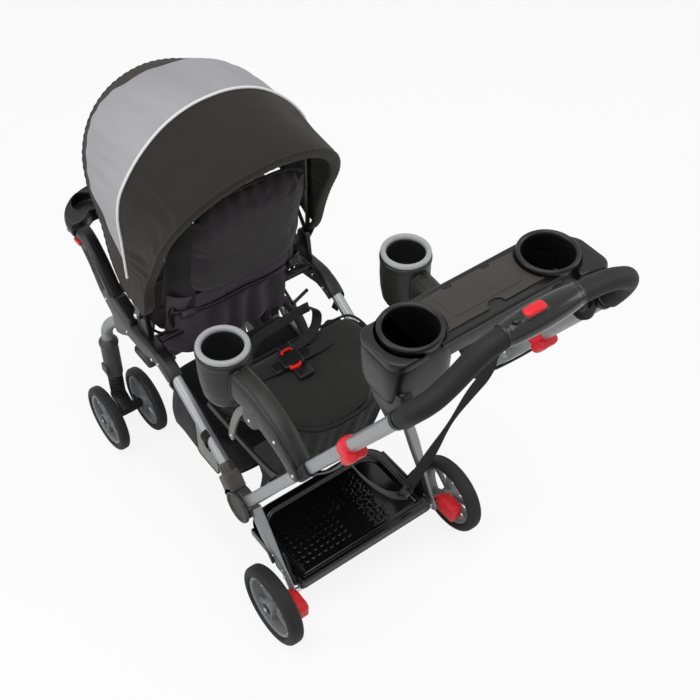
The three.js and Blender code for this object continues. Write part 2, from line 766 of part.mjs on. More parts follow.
// Red collars that slide up the upper tube
const collar = { length: 34, radius: 18, wingReach: 16, wingHalf: 9 };
const collarLow = handleAt(handleTube.collarAt - collar.length / 2);
const collarHigh = handleAt(handleTube.collarAt + collar.length / 2);
const under = v3(0, Math.sin(handleAngle), -Math.cos(handleAngle));
const wings = [-1, 1].map((s) => {
  const foot = handleAt(handleTube.collarAt, frameX + s * collar.wingHalf);
  return rod(
    foot.clone().addScaledVector(under, collar.wingReach).addScaledVector(handleWay, -collar.length / 2),
    foot.clone().addScaledVector(under, collar.wingReach).addScaledVector(handleWay, collar.length / 2),
    collar.wingHalf + 3,
    14,
  );
});
const collarBore = rod(
  handleAt(handleTube.collarAt - collar.length),
  handleAt(handleTube.collarAt + collar.length),
  handleTube.upperRadius + running,
  20,
);
placeBoth("collar", cut(join(rod(collarLow, collarHigh, collar.radius, 10), ...wings), collarBore), "red");

// Handlebar: foam grips that sweep back and in to a release housing in the middle
const gripStart = handleAt(handleLength + gap, frameX);
const barShares = [
  [1, 0, 0],
  [1, 0.45, 0.23],
  [0.995, 0.76, 0.46],
  [0.965, 0.95, 0.67],
  [0.88, 1, 0.82],
  [0.735, 0.97, 0.895],
  [0.59, 0.9, 0.93],
  [0.44, 0.83, 0.95],
  [0.27, 0.75, 0.975],
  [0, 0.68, 1],
];
const barMiddle = v3(0, gripStart.y + grip.sweep * barShares.at(-1)[1], gripStart.z + grip.rise);
const barPoint = ([across, back, up], s) => v3(
  s * frameX * across,
  gripStart.y + grip.sweep * back,
  gripStart.z + grip.rise * up,
);
const barPoints = [
  ...barShares.map((share) => barPoint(share, 1)),
  ...barShares.slice(0, -1).reverse().map((share) => barPoint(share, -1)),
];
const gripLoop = bentTube(barPoints, grip.radius, 8, 24);
const centre = { half: 64, height: 21, depth: 24 };
const centreBody = new THREE.SphereGeometry(1, 12, 6).scale(
  centre.half * 1.25,
  centre.depth,
  centre.height,
).translate(0, barMiddle.y, barMiddle.z);
const releaseAt = { x: 16, length: 30, width: 12, height: 12, travel: 4, proud: 3 };
const releaseTop = barMiddle.z + centre.height;
const releaseShape = (grow) =>
  roundedRect(
    releaseAt.x - releaseAt.length / 2 - grow,
    releaseAt.x + releaseAt.length / 2 + grow,
    barMiddle.y - releaseAt.width / 2 - grow,
    barMiddle.y + releaseAt.width / 2 + grow,
    releaseAt.width / 3,
  );
const releasePocket = planPlate(
  releaseShape(running),
  releaseTop - releaseAt.height - releaseAt.travel - gap,
  releaseTop + over,
);
const gripBores = [frameX, -frameX].map((x) =>
  rod(
    handleAt(handleLength - over, x),
    handleAt(handleLength + grip.socket + gap, x),
    handleTube.upperRadius + 2 * gap,
    12,
  ),
);
place("handlebar", cut(join(gripLoop, centreBody), releasePocket, ...gripBores), "blackPlastic");
place(
  "release_button",
  planPlate(releaseShape(0), releaseTop - releaseAt.height, releaseTop + releaseAt.proud, 1),
  "red",
);

// Parent tray: two deep cups, a lidded box between them, and an ear at each end on the handle tube
const trayMount = handleAt(handleLength - 28);
const tray = {
  half: 198,
  front: trayMount.y - 99.9,
  back: trayMount.y + 1.1,
  corner: 26,
  wall: 3,
  earX: 185,
  tubIn: 84,
};
tray.top = trayMount.z + 110.8;
tray.bottom = tray.top - 46;
tray.tubBottom = tray.top - 90;
const cup = { x: 133, y: trayMount.y - 48.9, radius: 50, bore: 41, rim: 8, depth: 92, taper: 8 };
const cupTop = tray.top + cup.rim;
const trayPlan = planPlate(
  roundedRect(-tray.half, tray.half, tray.front, tray.back, tray.corner),
  tray.bottom,
  tray.top,
  6,
);
const tubShape = (s) => {
  const [x0, x1] = s > 0 ? [tray.tubIn, tray.earX] : [-tray.earX, -tray.tubIn];
  return roundedRect(x0, x1, tray.front, tray.back, tray.corner);
};
const cupBodies = [-1, 1].flatMap((s) => [
  planPlate(tubShape(s), tray.tubBottom, tray.bottom + 2 * tray.wall, 8),
  rodZ(s * cup.x, cup.y, cupTop - cup.rim - 1, cupTop, cup.radius, 16, cup.radius - 3),
]);
const trayEar = { low: handleLength - 48, high: handleLength - 8 };
const earX = frameX - handleTube.upperRadius - gap;
const trayEnds = [-1, 1].flatMap((s) => {
  const [x0, x1] = s > 0 ? [tray.earX - 22, tray.earX] : [-tray.earX, -tray.earX + 22];
  const low = handleAt(trayEar.low);
  const high = handleAt(trayEar.high);
  const outline = new THREE.Shape([
    new THREE.Vector2(tray.front + 30, tray.top - 12),
    new THREE.Vector2(low.y - 18, low.z + 22),
    new THREE.Vector2(low.y - 4, low.z - 12),
    new THREE.Vector2(low.y + 14, low.z - 14),
    new THREE.Vector2(high.y + 14, high.z),
    new THREE.Vector2(tray.back - 2, tray.bottom + 4),
    new THREE.Vector2(tray.back - 8, tray.top - 12),
  ]);
  const shoe = [
    [trayEar.low, -handleTube.upperRadius],
    [trayEar.high - handleTube.upperRadius, -handleTube.upperRadius],
    [trayEar.high - handleTube.upperRadius, handleTube.upperRadius],
    [trayEar.low, handleTube.upperRadius],
  ].map(([along, aside]) => {
    const at = handleAt(along).addScaledVector(under, aside);
    return new THREE.Vector2(at.y, at.z);
  });
  const [s0, s1] = s > 0 ? [x0, earX] : [-earX, x1];
  return [sidePlate(outline, x0, x1, 2, 1), sidePlate(new THREE.Shape(shoe), s0, s1)];
});
const box = { half: 64, front: trayMount.y - 77.9, back: trayMount.y - 22.9, floor: tray.top - 40 };
const lid = {
  half: 74,
  front: trayMount.y - 86.9,
  back: trayMount.y - 13.9,
  thickness: 3,
  corner: 12,
  hingeInset: 2,
};
const lidSink = planPlate(
  roundedRect(-lid.half - running, lid.half + running, lid.front - running, lid.back + running, lid.corner),
  tray.top - lid.thickness - gap,
  tray.top + cup.rim + over,
);
const cupBores = [-1, 1].map((s) => rodZ(
  s * cup.x,
  cup.y,
  cupTop - cup.depth + tray.wall,
  cupTop + over,
  cup.bore - cup.taper,
  16,
  cup.bore,
));
const boxSpace = planPlate(
  roundedRect(-box.half, box.half, box.front, box.back, 8),
  box.floor,
  tray.top + over,
);
place(
  "parent_tray",
  cut(join(trayPlan, ...cupBodies, ...trayEnds), lidSink, boxSpace, ...cupBores),
  "blackPlastic",
);
place(
  "tray_lid",
  planPlate(
    roundedRect(-lid.half, lid.half, lid.front, lid.back, lid.corner),
    tray.top - lid.thickness,
    tray.top,
  ),
  "charcoalPlastic",
);

// The jump seat, its arms and their links: with the handle they make a parallelogram on each side
const seatPivotAt = 198; // along the handle tube, from the hub
const linkReach = { ahead: 137, rise: 20 }; // from the handle tube forward to the link, on seat rail and arm
const linkRise = 198; // along the handle tube, from the seat rail to the arm
const seatPivot = handleAt(seatPivotAt);
const armPivot = handleAt(seatPivotAt + linkRise);
const linkLow = v3(frameX, seatPivot.y - linkReach.ahead, seatPivot.z + linkReach.rise);
const linkHigh = v3(frameX, armPivot.y - linkReach.ahead, armPivot.z + linkReach.rise);
const railX = { in: frameX - handleTube.radius - gap - 6, out: frameX - handleTube.radius - gap };
const rail = { half: 8, thickness: 7 };
const pinR = 4;

// Seat frame: two side rails with a cross plate under the pad
const padBottom = 443;
const pan = { half: 174, front: -52, shoulder: 4, back: 136, backHalf: 62, thickness: 12 };
const seatRails = [-1, 1].map((s) => {
  const [x0, x1] = s > 0 ? [railX.in, railX.out] : [-railX.out, -railX.in];
  const shape = bandShape(
    [
      { y: seatPivot.y + rail.half, z: seatPivot.z, half: rail.half },
      { y: (seatPivot.y + linkLow.y) / 2, z: (seatPivot.z + linkLow.z) / 2, half: rail.half - 1 },
      { y: linkLow.y, z: linkLow.z, half: rail.half },
      { y: pan.front + 2 * rail.half, z: linkLow.z + 1, half: rail.half },
    ],
    6,
  );
  return sidePlate(shape, x0, x1);
});
const panShape = new THREE.Shape([
  new THREE.Vector2(-pan.half, pan.front),
  new THREE.Vector2(pan.half, pan.front),
  new THREE.Vector2(pan.half, pan.shoulder),
  new THREE.Vector2(pan.backHalf, pan.back),
  new THREE.Vector2(-pan.backHalf, pan.back),
  new THREE.Vector2(-pan.half, pan.shoulder),
]);
const panTop = padBottom - gap;
const panPlate = planPlate(panShape, panTop - pan.thickness, panTop);
const panBars = [-1, 1].flatMap((s) =>
  [pan.front + 2 * rail.half, linkLow.y - 2 * rail.half].map((y) => {
    const [x0, x1] = s > 0 ? [pan.half - 2, railX.out - 1] : [-railX.out + 1, -pan.half + 2];
    return block(x0, x1, y, y + 2 * rail.half, panTop - pan.thickness, panTop + 4);
  }),
);
const railPins = [-1, 1].map((s) => rodX(
  s * (railX.in + 1),
  s * (frameX + 5),
  linkLow.y,
  linkLow.z,
  4,
  14,
));
place("rear_seat_frame", join(...seatRails, panPlate, ...panBars, ...railPins), "blackPlastic");

// Seat pads and backs: crowned cushions whose sides draw in between the corners
function cushion(
  outline,
  halfThickness,
  edgeShare,
  around,
  channels = [],
  channelWidth = 1,
  channelShare = 0,
) {
  const spreadShares = [0.4, 0.75, 0.95];
  const rings = [];
  const ring = (share, side) => {
    const lift = edgeShare + (1 - edgeShare) * Math.sqrt(Math.max(0, 1 - share ** 4));
    return Array.from({ length: around }, (_, i) => {
      const at = outline((2 * Math.PI * i) / around);
      const groove = channels.reduce(
        (deep, c) => deep + Math.exp(-(((at.y * share - c) / channelWidth) ** 2)),
        0,
      );
      const w = side * halfThickness * lift * (1 - (side > 0 ? channelShare * Math.min(1, groove) : 0));
      return v3(at.x * share, at.y * share, w);
    });
  };
  for (const share of spreadShares) rings.push(ring(share, -1));
  rings.push(Array.from({ length: around }, (_, i) => {
    const at = outline((2 * Math.PI * i) / around);
    return v3(at.x, at.y, 0);
  }));
  for (const share of spreadShares.toReversed()) rings.push(ring(share, 1));
  return loft(rings);
}

// A rounded rectangle by angle: a superellipse whose sides pull in a little between its corners.
const padOutline = (halfWidth, halfLength, power, pull, frontShare = 1) => (turn) => {
  const [c, s] = [Math.cos(turn), Math.sin(turn)];
  const reach = (Math.abs(c) ** power + Math.abs(s) ** power) ** (-1 / power);
  const drawn = 1 - pull * Math.cos(2 * turn) ** 2;
  const narrow = 1 - (1 - frontShare) * (1 + s * reach) / 2;
  return v3(halfWidth * c * reach * drawn * narrow, halfLength * s * reach * drawn, 0);
};

const jumpPad = { thickness: 26, middleY: 45 };
const padCorners = [
  [90, -69],
  [170, -65],
  [182, -42],
  [182, 0],
  [162, 38],
  [132, 76],
  [98, 124],
  [66, 156],
  [30, 165],
];
const padCurve = new THREE.CatmullRomCurve3(
  [
    ...padCorners,
    ...padCorners.toReversed().map(([x, y]) => [-x, y]),
  ].map(([x, y]) => v3(x, y - jumpPad.middleY, 0)),
  true,
  "centripetal",
);
const jumpCushion = cushion(
  (turn) => padCurve.getPointAt(turn / (2 * Math.PI)),
  jumpPad.thickness / 2,
  0.3,
  30,
);
place(
  "rear_seat_pad",
  jumpCushion.translate(0, jumpPad.middleY, padBottom + jumpPad.thickness / 2),
  "blackFabric",
);

// Harness buckle on the jump seat
const buckle = { x: 12, y: 2, width: 46, length: 62, height: 13 };
const buckleZ = padBottom + jumpPad.thickness + gap;
place(
  "harness_buckle",
  planPlate(
    roundedRect(-buckle.width / 2, buckle.width / 2, -buckle.length / 2, buckle.length / 2, 9),
    0,
    buckle.height,
    3,
  ),
  "blackPlastic",
).position.set(buckle.x, buckle.y, buckleZ);

// Links from the arms down to the seat rails
const link = { in: frameX - 3.5, out: frameX + 3.5, half: 8, bow: 10, pinRadius: 4, room: 0.8 };
const linkShape = bandShape(
  [
    { y: linkHigh.y + link.half, z: linkHigh.z + link.half * 1.4, half: link.half },
    {
      y: (linkHigh.y + linkLow.y) / 2 - link.bow,
      z: (linkHigh.z + linkLow.z) / 2 + link.bow,
      half: link.half - 1,
    },
    { y: linkLow.y - link.half * 0.6, z: linkLow.z - link.half, half: link.half },
  ],
  8,
);
const linkHoles = [linkHigh, linkLow].map(({ y, z }) => rodX(
  link.in - over,
  link.out + over,
  y,
  z,
  link.pinRadius + running,
  14,
));
placeBoth("cup_link", cut(sidePlate(linkShape, link.in, link.out, 1, 1), ...linkHoles), "rimGrey");

// Cup arms: from a pivot on the handle tube forward to a cup for the child who stands or sits behind
const childCup = { x: 209, y: 71, top: 720, radius: 46, bore: 38, depth: 84, footRadius: 30 };
const arm = { width: 34, half: 16, pivotHalf: 17 };
const armIn = railX.in;
const armStations = [
  { y: armPivot.y, z: armPivot.z, half: arm.pivotHalf },
  { y: armPivot.y - 46, z: armPivot.z + 12, half: arm.half },
  { y: linkHigh.y + 24, z: linkHigh.z + 16, half: arm.half + 8 },
  { y: linkHigh.y - 26, z: linkHigh.z + 54, half: arm.half + 10 },
  { y: childCup.y + childCup.radius * 0.7, z: childCup.top - 52, half: arm.half + 8 },
];
const armBand = sidePlate(bandShape(armStations, 10), armIn, armIn + arm.width, 5);
const cupBody = turned(
  [
    [0, childCup.top - childCup.depth - 12],
    [childCup.footRadius, childCup.top - childCup.depth - 8],
    [childCup.footRadius + 10, childCup.top - childCup.depth * 0.7],
    [childCup.radius, childCup.top - childCup.depth * 0.3],
    [childCup.radius, childCup.top - 10 - gap],
    [0, childCup.top - 10 - gap],
  ],
  14,
  childCup.x,
  childCup.y,
);
const cupBore = rodZ(
  childCup.x,
  childCup.y,
  childCup.top - childCup.depth,
  childCup.top + over,
  childCup.bore - 6,
  14,
  childCup.bore,
);
const foldAngle = rad(40);
const swingReach = 90;
// The space that the handle tube sweeps in the arm as the stroller folds, above the pivot and below it
const swingHalf = handleTube.radius + 3 * gap;
const swingRoom = [1, -1].map((s) => {
  const from = new THREE.Vector2(armPivot.y, armPivot.z);
  const ray = (turn, along, aside) => {
    const way = new THREE.Vector2(Math.cos(turn), Math.sin(turn)).multiplyScalar(s);
    const side = new THREE.Vector2(-way.y, way.x);
    return from.clone().addScaledVector(way, along).addScaledVector(side, aside);
  };
  const [first, last] = [handleAngle, handleAngle + foldAngle];
  const outline = new THREE.Shape([
    ray(first, -swingHalf / 2, -swingHalf),
    ray(first, swingReach, -swingHalf),
    ray((first + last) / 2, swingReach, 0),
    ray(last, swingReach, swingHalf),
    ray(last, -swingHalf / 2, swingHalf),
  ]);
  return sidePlate(outline, frameX - swingHalf, frameX + swingHalf);
});
const armPinAt = rodX(armIn + 1, frameX - handleTube.radius - gap, armPivot.y, armPivot.z, pinR, 10);
const linkSlot = block(
  link.in - link.room,
  link.out + link.room,
  linkHigh.y - 3 * link.half,
  linkHigh.y + 3 * link.half,
  linkHigh.z - 5 * link.half,
  linkHigh.z + 2.4 * link.half,
);
const linkPin = rodX(armIn + 1, armIn + arm.width - 1, linkHigh.y, linkHigh.z, link.pinRadius, 14);
placeBoth(
  "cup_arm",
  join(cut(join(armBand, cupBody, armPinAt), cupBore, ...swingRoom, linkSlot), linkPin),
  "blackPlastic",
);
const ringProfile = [
  [childCup.bore + 1, childCup.top - 10],
  [childCup.radius + 4, childCup.top - 10],
  [childCup.radius + 4, childCup.top - 3],
  [childCup.radius + 1, childCup.top],
  [childCup.bore + 3, childCup.top],
  [childCup.bore + 1, childCup.top - 3],
  [childCup.bore + 1, childCup.top - 10],
];
placeBoth("cup_ring", bareMesh(turned(ringProfile, 18, childCup.x, childCup.y)), "ringGrey");

// Front seat: a base between the housings and a back that pivots on them
const seatHalf = frameX - housingWidth / 2 - gap;
const base = { front: -452, back: -236, top: 470, thickness: 36 };
const baseCushion = cushion(
  padOutline(seatHalf, (base.back - base.front) / 2, 8, 0.003),
  base.thickness / 2,
  0.35,
  28,
  [0],
  14,
  0.25,
);
place(
  "front_seat_base",
  baseCushion.translate(0, (base.front + base.back) / 2, base.top - base.thickness / 2),
  "blackFabric",
);

const backPivot = { y: -222, z: 468 };
const back = { lean: rad(13), halfWidth: 146, length: 350, lift: 8, thickness: 46, topShare: 0.87 };
const backCushion = cushion(
  padOutline(back.halfWidth, back.length / 2, 4.5, 0.02, back.topShare),
  back.thickness / 2,
  0.3,
  30,
  [-46, 46],
  12,
  0.3,
);
backCushion.rotateX(Math.PI / 2 - back.lean).translate(0, 0, 0);
const backMiddle = back.length / 2 + back.lift;
backCushion.translate(
  0,
  backPivot.y + Math.sin(back.lean) * backMiddle,
  backPivot.z + Math.cos(back.lean) * backMiddle,
);
const backBar = rodX(-seatHalf, seatHalf, backPivot.y, backPivot.z, 7, 10);
const backTongue = rod(
  v3(0, backPivot.y, backPivot.z),
  v3(0, backPivot.y + Math.sin(back.lean) * 40, backPivot.z + Math.cos(back.lean) * 40),
  7,
  12,
);
place("front_seat_back", join(backCushion, backBar, backTongue), "blackFabric");

// Footrest: a moulded tray between two arms that hang from the housings
const foot = {
  half: 150,
  front: legTop.y - 76,
  back: legTop.y + 8,
  bottom: 206,
  top: 222,
  armThickness: 8,
};
const footBarAt = { y: legTop.y + 50, z: legTop.z - 53 };
const footPlateTop = planPlate(
  roundedRect(-foot.half, foot.half, foot.front, foot.back, 10),
  foot.bottom,
  foot.top,
  4,
);
const footArms = [-1, 1].map((s) => {
  const [x0, x1] = s > 0 ? [
    foot.half - foot.armThickness - 4,
    foot.half - 4,
  ] : [-foot.half + 4, -foot.half + foot.armThickness + 4];
  return sidePlate(
    bandShape(
      [
        { y: foot.back - 16, z: foot.bottom + 8, half: 14 },
        { y: foot.back + 10, z: (foot.bottom + footBarAt.z + 5) / 2, half: 12 },
        { y: footBarAt.y, z: footBarAt.z, half: 8 },
      ],
      8,
    ),
    x0,
    x1,
  );
});
const footBar = rodX(-seatHalf, seatHalf, footBarAt.y, footBarAt.z, 7, 10);
place("footrest", join(footPlateTop, ...footArms, footBar), "blackPlastic");

// Basket: an open bag between the side tubes
const basket = {
  frontY: -238,
  backY: 8,
  bottom: 214,
  topHalf: frameX - tubeRadius - gap,
  bottomHalf: 202,
  wall: 3,
  backShare: 0.93,
};
const rimZ = (y) => {
  const share = (tubeRear.y - y) / sideTube.run;
  return Math.min(tubeFront.z - 34, tubeRear.z + sideTube.climb * share) - 4;
};
function basketRing(levelShare, inset) {
  const half = basket.bottomHalf + (basket.topHalf - basket.bottomHalf) * levelShare ** 3 - inset;
  const middleY = (basket.frontY + basket.backY) / 2;
  const halfY = (basket.backY - basket.frontY) / 2 - inset - (1 - levelShare) * 10;
  const outline = padOutline(half, halfY, 12, 0, basket.backShare + (1 - basket.backShare) * levelShare);
  return Array.from({ length: 26 }, (_, i) => {
    const at = outline((2 * Math.PI * i) / 26);
    const top = rimZ(middleY + at.y);
    return v3(
      at.x,
      middleY + at.y,
      basket.bottom + (top - basket.bottom) * levelShare + (levelShare > 0 ? 0 : inset),
    );
  });
}
const basketRings = [
  ...[0, 0.4, 1].map((level) => basketRing(level, 0)),
  ...[1, 0.4, 0].map((level) => basketRing(level, basket.wall)),
];
place("basket", loft(basketRings), "blackFabric");

// Canopy: three bows on one pivot and a sheet over them, angles counted from straight back and upwards
const canopy = { rear: rad(64), middle: rad(90), front: rad(125), cloth: 2.5, bow: 5, sag: 7 };
const arch = { halfWidth: 217.5, height: 456 };
const archShares = [
  [1, 0.125],
  [1, 0.33],
  [1, 0.55],
  [0.97, 0.66],
  [0.87, 0.755],
  [0.7, 0.86],
  [0.46, 0.945],
  [0.22, 0.985],
  [0, 1],
];
function archCurve(inset) {
  const half = archShares.map(([x, r]) => v3((arch.halfWidth - inset) * x, (arch.height - inset) * r, 0));
  const other = half.slice(0, -1).reverse().map((p) => v3(-p.x, p.y, 0));
  return new THREE.CatmullRomCurve3([...half, ...other], false, "centripetal");
}
const onCanopy = (x, r, angle) => v3(
  x,
  canopyPivot.y + r * Math.cos(angle),
  canopyPivot.z + r * Math.sin(angle),
);
const strip = { thickness: 2.6, half: 4.5, length: 120, lap: 15, discRadius: 12 };
const bolt = { radius: 3.5 };
const bowInset = canopy.bow + gap + 1;
const bowStart = strip.length - strip.lap;
function bow(angle, layer) {
  const x0 = earOut + gap + layer * (strip.thickness + gap);
  const x1 = x0 + strip.thickness;
  const curve = archCurve(bowInset).getSpacedPoints(15).filter((p) => p.y > strip.length + strip.lap);
  const arc = curve.map((p) => onCanopy(p.x, p.y, angle));
  const ends = [1, -1].map((s) => onCanopy(s * (arch.halfWidth - bowInset), bowStart, angle));
  const tube = bentTube([ends[0], ...arc, ends[1]], canopy.bow, 6, 15);
  const flats = [1, -1].map((s) => {
    const [a, b] = s > 0 ? [x0, x1] : [-x1, -x0];
    const way = new THREE.Vector2(Math.cos(angle), Math.sin(angle));
    const side = new THREE.Vector2(-way.y, way.x).multiplyScalar(strip.half);
    const foot = new THREE.Vector2(canopyPivot.y, canopyPivot.z);
    const tip = foot.clone().addScaledVector(way, strip.length);
    const bar = new THREE.Shape([
      foot.clone().add(side),
      foot.clone().sub(side),
      tip.clone().sub(side),
      tip.clone().add(side),
    ]);
    return [sidePlate(bar, a, b), rodX(a, b, canopyPivot.y, canopyPivot.z, strip.discRadius, 10)];
  });
  return join(tube, ...flats.flat());
}
const throughBolts = [1, -1].map((s) => rodX(
  s * (housingIn + 4),
  s * (earOut + gap + 1),
  canopyPivot.y,
  canopyPivot.z,
  bolt.radius,
  12,
));
const boltRooms = [1, -1].map((s) => rodX(
  s * housingIn,
  s * (housingOut + over),
  canopyPivot.y,
  canopyPivot.z,
  bolt.radius + running,
  12,
));
place("canopy_front_bow", join(bow(canopy.front, 0), ...throughBolts), "steel");
place("canopy_mid_bow", cut(bow(canopy.middle, 1), ...boltRooms), "steel");
place("canopy_rear_bow", cut(bow(canopy.rear, 2), ...boltRooms), "steel");

const coverRows = [];
const bays = [
  [canopy.rear, canopy.middle, 3],
  [canopy.middle, canopy.front, 4],
];
for (const [from, to, steps] of bays)
  for (let i = coverRows.length ? 1 : 0; i <= steps; i++)
    coverRows.push({
      angle: from + ((to - from) * i) / steps,
      dip: canopy.sag * Math.sin((Math.PI * i) / steps),
    });
const coverAround = 20;
const coverCurve = archCurve(0);
const coverPoints = [];
const coverWays = [];
for (const { angle, dip } of coverRows) {
  const row = [];
  const ways = [];
  for (let i = 0; i <= coverAround; i++) {
    const at = coverCurve.getPointAt(i / coverAround);
    const way = coverCurve.getTangentAt(i / coverAround);
    const [outX, outR] = [way.y, -way.x];
    row.push(onCanopy(at.x, at.y - dip * Math.abs(outR), angle));
    ways.push(v3(outX, Math.cos(angle) * outR, Math.sin(angle) * outR).normalize());
  }
  coverPoints.push(row);
  coverWays.push(ways);
}
place("canopy_cover", sheet(coverPoints, coverWays, canopy.cloth), "greyFabric");

// Child's tray: a moulded tray across the arms, with a cup hollow at each side
const childTray = { half: frameX + lug.radius, front: trayEdgeY - 107, thickness: 32, corner: 70, wall: 4 };
const trayTop = trayBottom + childTray.thickness;
const trayOutline = new THREE.Shape();
trayOutline.moveTo(childTray.half, lugY);
trayOutline.absarc(frameX, lugY, lug.radius, 0, Math.PI / 2);
trayOutline.quadraticCurveTo(0, lugY - lug.radius, -frameX, lugY + lug.radius);
trayOutline.absarc(-frameX, lugY, lug.radius, Math.PI / 2, Math.PI);
trayOutline.quadraticCurveTo(
  -childTray.half,
  childTray.front + 8,
  -childTray.half + childTray.corner,
  childTray.front + 4,
);
trayOutline.quadraticCurveTo(
  0,
  childTray.front - 4,
  childTray.half - childTray.corner,
  childTray.front + 4,
);
trayOutline.quadraticCurveTo(childTray.half, childTray.front + 8, childTray.half, lugY);
const trayHollows = [-1, 1].map((s) => rodZ(
  s * (childTray.half - 72),
  childTray.front + 50,
  trayBottom + childTray.wall,
  trayTop + over,
  30,
  24,
  34,
));
const snackHalf = childTray.half - 120;
const snack = planPlate(
  roundedRect(-snackHalf, snackHalf, childTray.front + 16, childTray.front + 66, 10),
  trayBottom + childTray.wall + 8,
  trayTop + over,
);
place(
  "child_tray",
  cut(planPlate(trayOutline, trayBottom, trayTop, 5), ...trayHollows, snack),
  "blackPlastic",
);

// Safety strap: webbing that hangs between the two handle tubes
const strap = { at: 520, width: 25, thickness: 2.4, drop: 268, back: 0, loop: 14 };
const strapTop = handleAt(strap.at);
const strapX = frameX - handleTube.radius - strap.thickness / 2 - gap;
const strapShares = [
  [1, 0],
  [0.72, 0.3],
  [0.45, 0.6],
  [0.2, 0.87],
  [0.02, 1],
  [-0.12, 0.84],
  [-0.4, 0.62],
  [-0.7, 0.32],
  [-1, 0],
];
const strapPoints = strapShares.map(([x, down]) => v3(
  strapX * x,
  strapTop.y + strap.back * down,
  strapTop.z - strap.drop * down,
));
const strapPath = new THREE.CatmullRomCurve3(strapPoints, false, "centripetal");
const strapRings = Array.from({ length: 19 }, (_, i) => {
  const at = strapPath.getPoint(i / 18);
  const way = strapPath.getTangent(i / 18);
  const out = v3(way.z, 0, -way.x).multiplyScalar(strap.thickness / 2);
  const wide = v3(0, strap.width / 2, 0);
  return [
    at.clone().add(out).add(wide),
    at.clone().sub(out).add(wide),
    at.clone().sub(out).sub(wide),
    at.clone().add(out).sub(wide),
  ];
});
place("safety_strap", loft(strapRings), "webbing");

// The origin is on the floor under the middle of the whole.
const whole = new THREE.Box3().setFromObject(stroller);
stroller.position.y = -(whole.min.y + whole.max.y) / 2;

export default stroller;
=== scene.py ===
import bmesh
import bpy
import numpy as np
from mathutils import Matrix, Vector


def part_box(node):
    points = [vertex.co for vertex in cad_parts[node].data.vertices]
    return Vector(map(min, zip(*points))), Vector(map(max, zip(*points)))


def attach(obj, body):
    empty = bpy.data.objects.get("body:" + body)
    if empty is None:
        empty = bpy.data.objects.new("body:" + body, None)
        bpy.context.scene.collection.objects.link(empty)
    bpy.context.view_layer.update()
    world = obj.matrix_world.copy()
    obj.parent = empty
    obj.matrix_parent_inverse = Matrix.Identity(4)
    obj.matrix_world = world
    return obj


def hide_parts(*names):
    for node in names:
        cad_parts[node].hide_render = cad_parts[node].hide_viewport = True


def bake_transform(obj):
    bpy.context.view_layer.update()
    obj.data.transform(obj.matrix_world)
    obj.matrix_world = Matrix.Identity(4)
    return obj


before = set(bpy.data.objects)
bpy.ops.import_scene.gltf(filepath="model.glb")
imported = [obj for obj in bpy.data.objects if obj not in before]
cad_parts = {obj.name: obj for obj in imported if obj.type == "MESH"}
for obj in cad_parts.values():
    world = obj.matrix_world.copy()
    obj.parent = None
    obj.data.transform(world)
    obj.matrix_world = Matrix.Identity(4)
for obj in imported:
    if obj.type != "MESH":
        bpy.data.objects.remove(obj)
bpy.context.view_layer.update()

# Studio: a camera above and behind the stroller's left rear wheel, a pale floor that fills
# the view, and a broad soft light overhead with two soft banks at the sides.
# Everything below is drawn in millimetres: X to the stroller's left, -Y the way it travels, Z up.
AXLE_Y = 230
axle_low, axle_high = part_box("rear_axle")
model_shift = (axle_low.y + axle_high.y) / 2 - AXLE_Y / 1000


def row(points):
    """Drawn millimetres to the model's metres: each number over a thousand, then moved along Y by the
    model's shift."""
    return np.asarray(points, float) / 1000 + (0, model_shift, 0)


turn_left, turn_down, roll = 0.657, 0.8104, 0.0126
ahead = np.array([
    -np.sin(turn_left) * np.cos(turn_down), -np.cos(turn_left) * np.cos(turn_down), -np.sin(turn_down)
])
level = np.cross(ahead, (0, 0, 1))
level /= np.linalg.norm(level)
upward = np.cross(level, ahead)
right = np.cos(roll) * level + np.sin(roll) * upward
up = np.cos(roll) * upward - np.sin(roll) * level
camera = bpy.data.objects.new("camera", bpy.data.cameras.new("camera"))
bpy.context.scene.collection.objects.link(camera)
PIXELS, FOCAL_PIXELS, MIDDLE = 700, 1231.03, (355.743, 346.039)
camera.data.sensor_width = 36
camera.data.lens = 36 * FOCAL_PIXELS / PIXELS
camera.data.shift_x = (PIXELS / 2 - MIDDLE[0]) / PIXELS
camera.data.shift_y = (MIDDLE[1] - PIXELS / 2) / PIXELS
place = Matrix(np.column_stack([right, up, -ahead]).tolist()).to_4x4()
place.translation = row((941.356, 1408.036, 2300.897))
camera.matrix_world = place
bpy.context.scene.camera = camera
bpy.context.scene.view_settings.view_transform = "Standard"


def put(tree, kind, sockets=(), **fields):
    """One shader node in a tree: its fields are set, and each socket takes a value or another node's
    output."""
    node = tree.nodes.new("ShaderNode" + kind)
    for field, value in fields.items():
        setattr(node, field, value)
    for key, value in dict(sockets).items():
        if isinstance(value, bpy.types.NodeSocket):
            tree.links.new(value, node.inputs[key])
        elif isinstance(value, bpy.types.Node):
            tree.links.new(value.outputs[0], node.inputs[key])
        else:
            node.inputs[key].default_value = value
    return node


def math_node(tree, operation, a, b):
    """One sum in a material: an operation on two numbers or outputs."""
    return put(tree, "Math", {0: a, 1: b}, operation=operation)


world = bpy.context.scene.world or bpy.data.worlds.new("studio")
bpy.context.scene.world = world
world.use_nodes = True
sky = world.node_tree
sky.nodes.clear()
path = put(sky, "LightPath")
seen = math_node(sky, "MAXIMUM", path.outputs["Is Camera Ray"], path.outputs["Is Glossy Ray"])
seen = math_node(sky, "MAXIMUM", seen, path.outputs["Is Transmission Ray"])
AMBIENT = 0.40
dim = put(sky, "Background", {"Color": (1, 1, 1, 1), "Strength": AMBIENT})
white = put(sky, "Background", {"Color": (1, 1, 1, 1), "Strength": 1})
put(sky, "OutputWorld", {"Surface": put(sky, "MixShader", {0: seen, 1: dim, 2: white})})

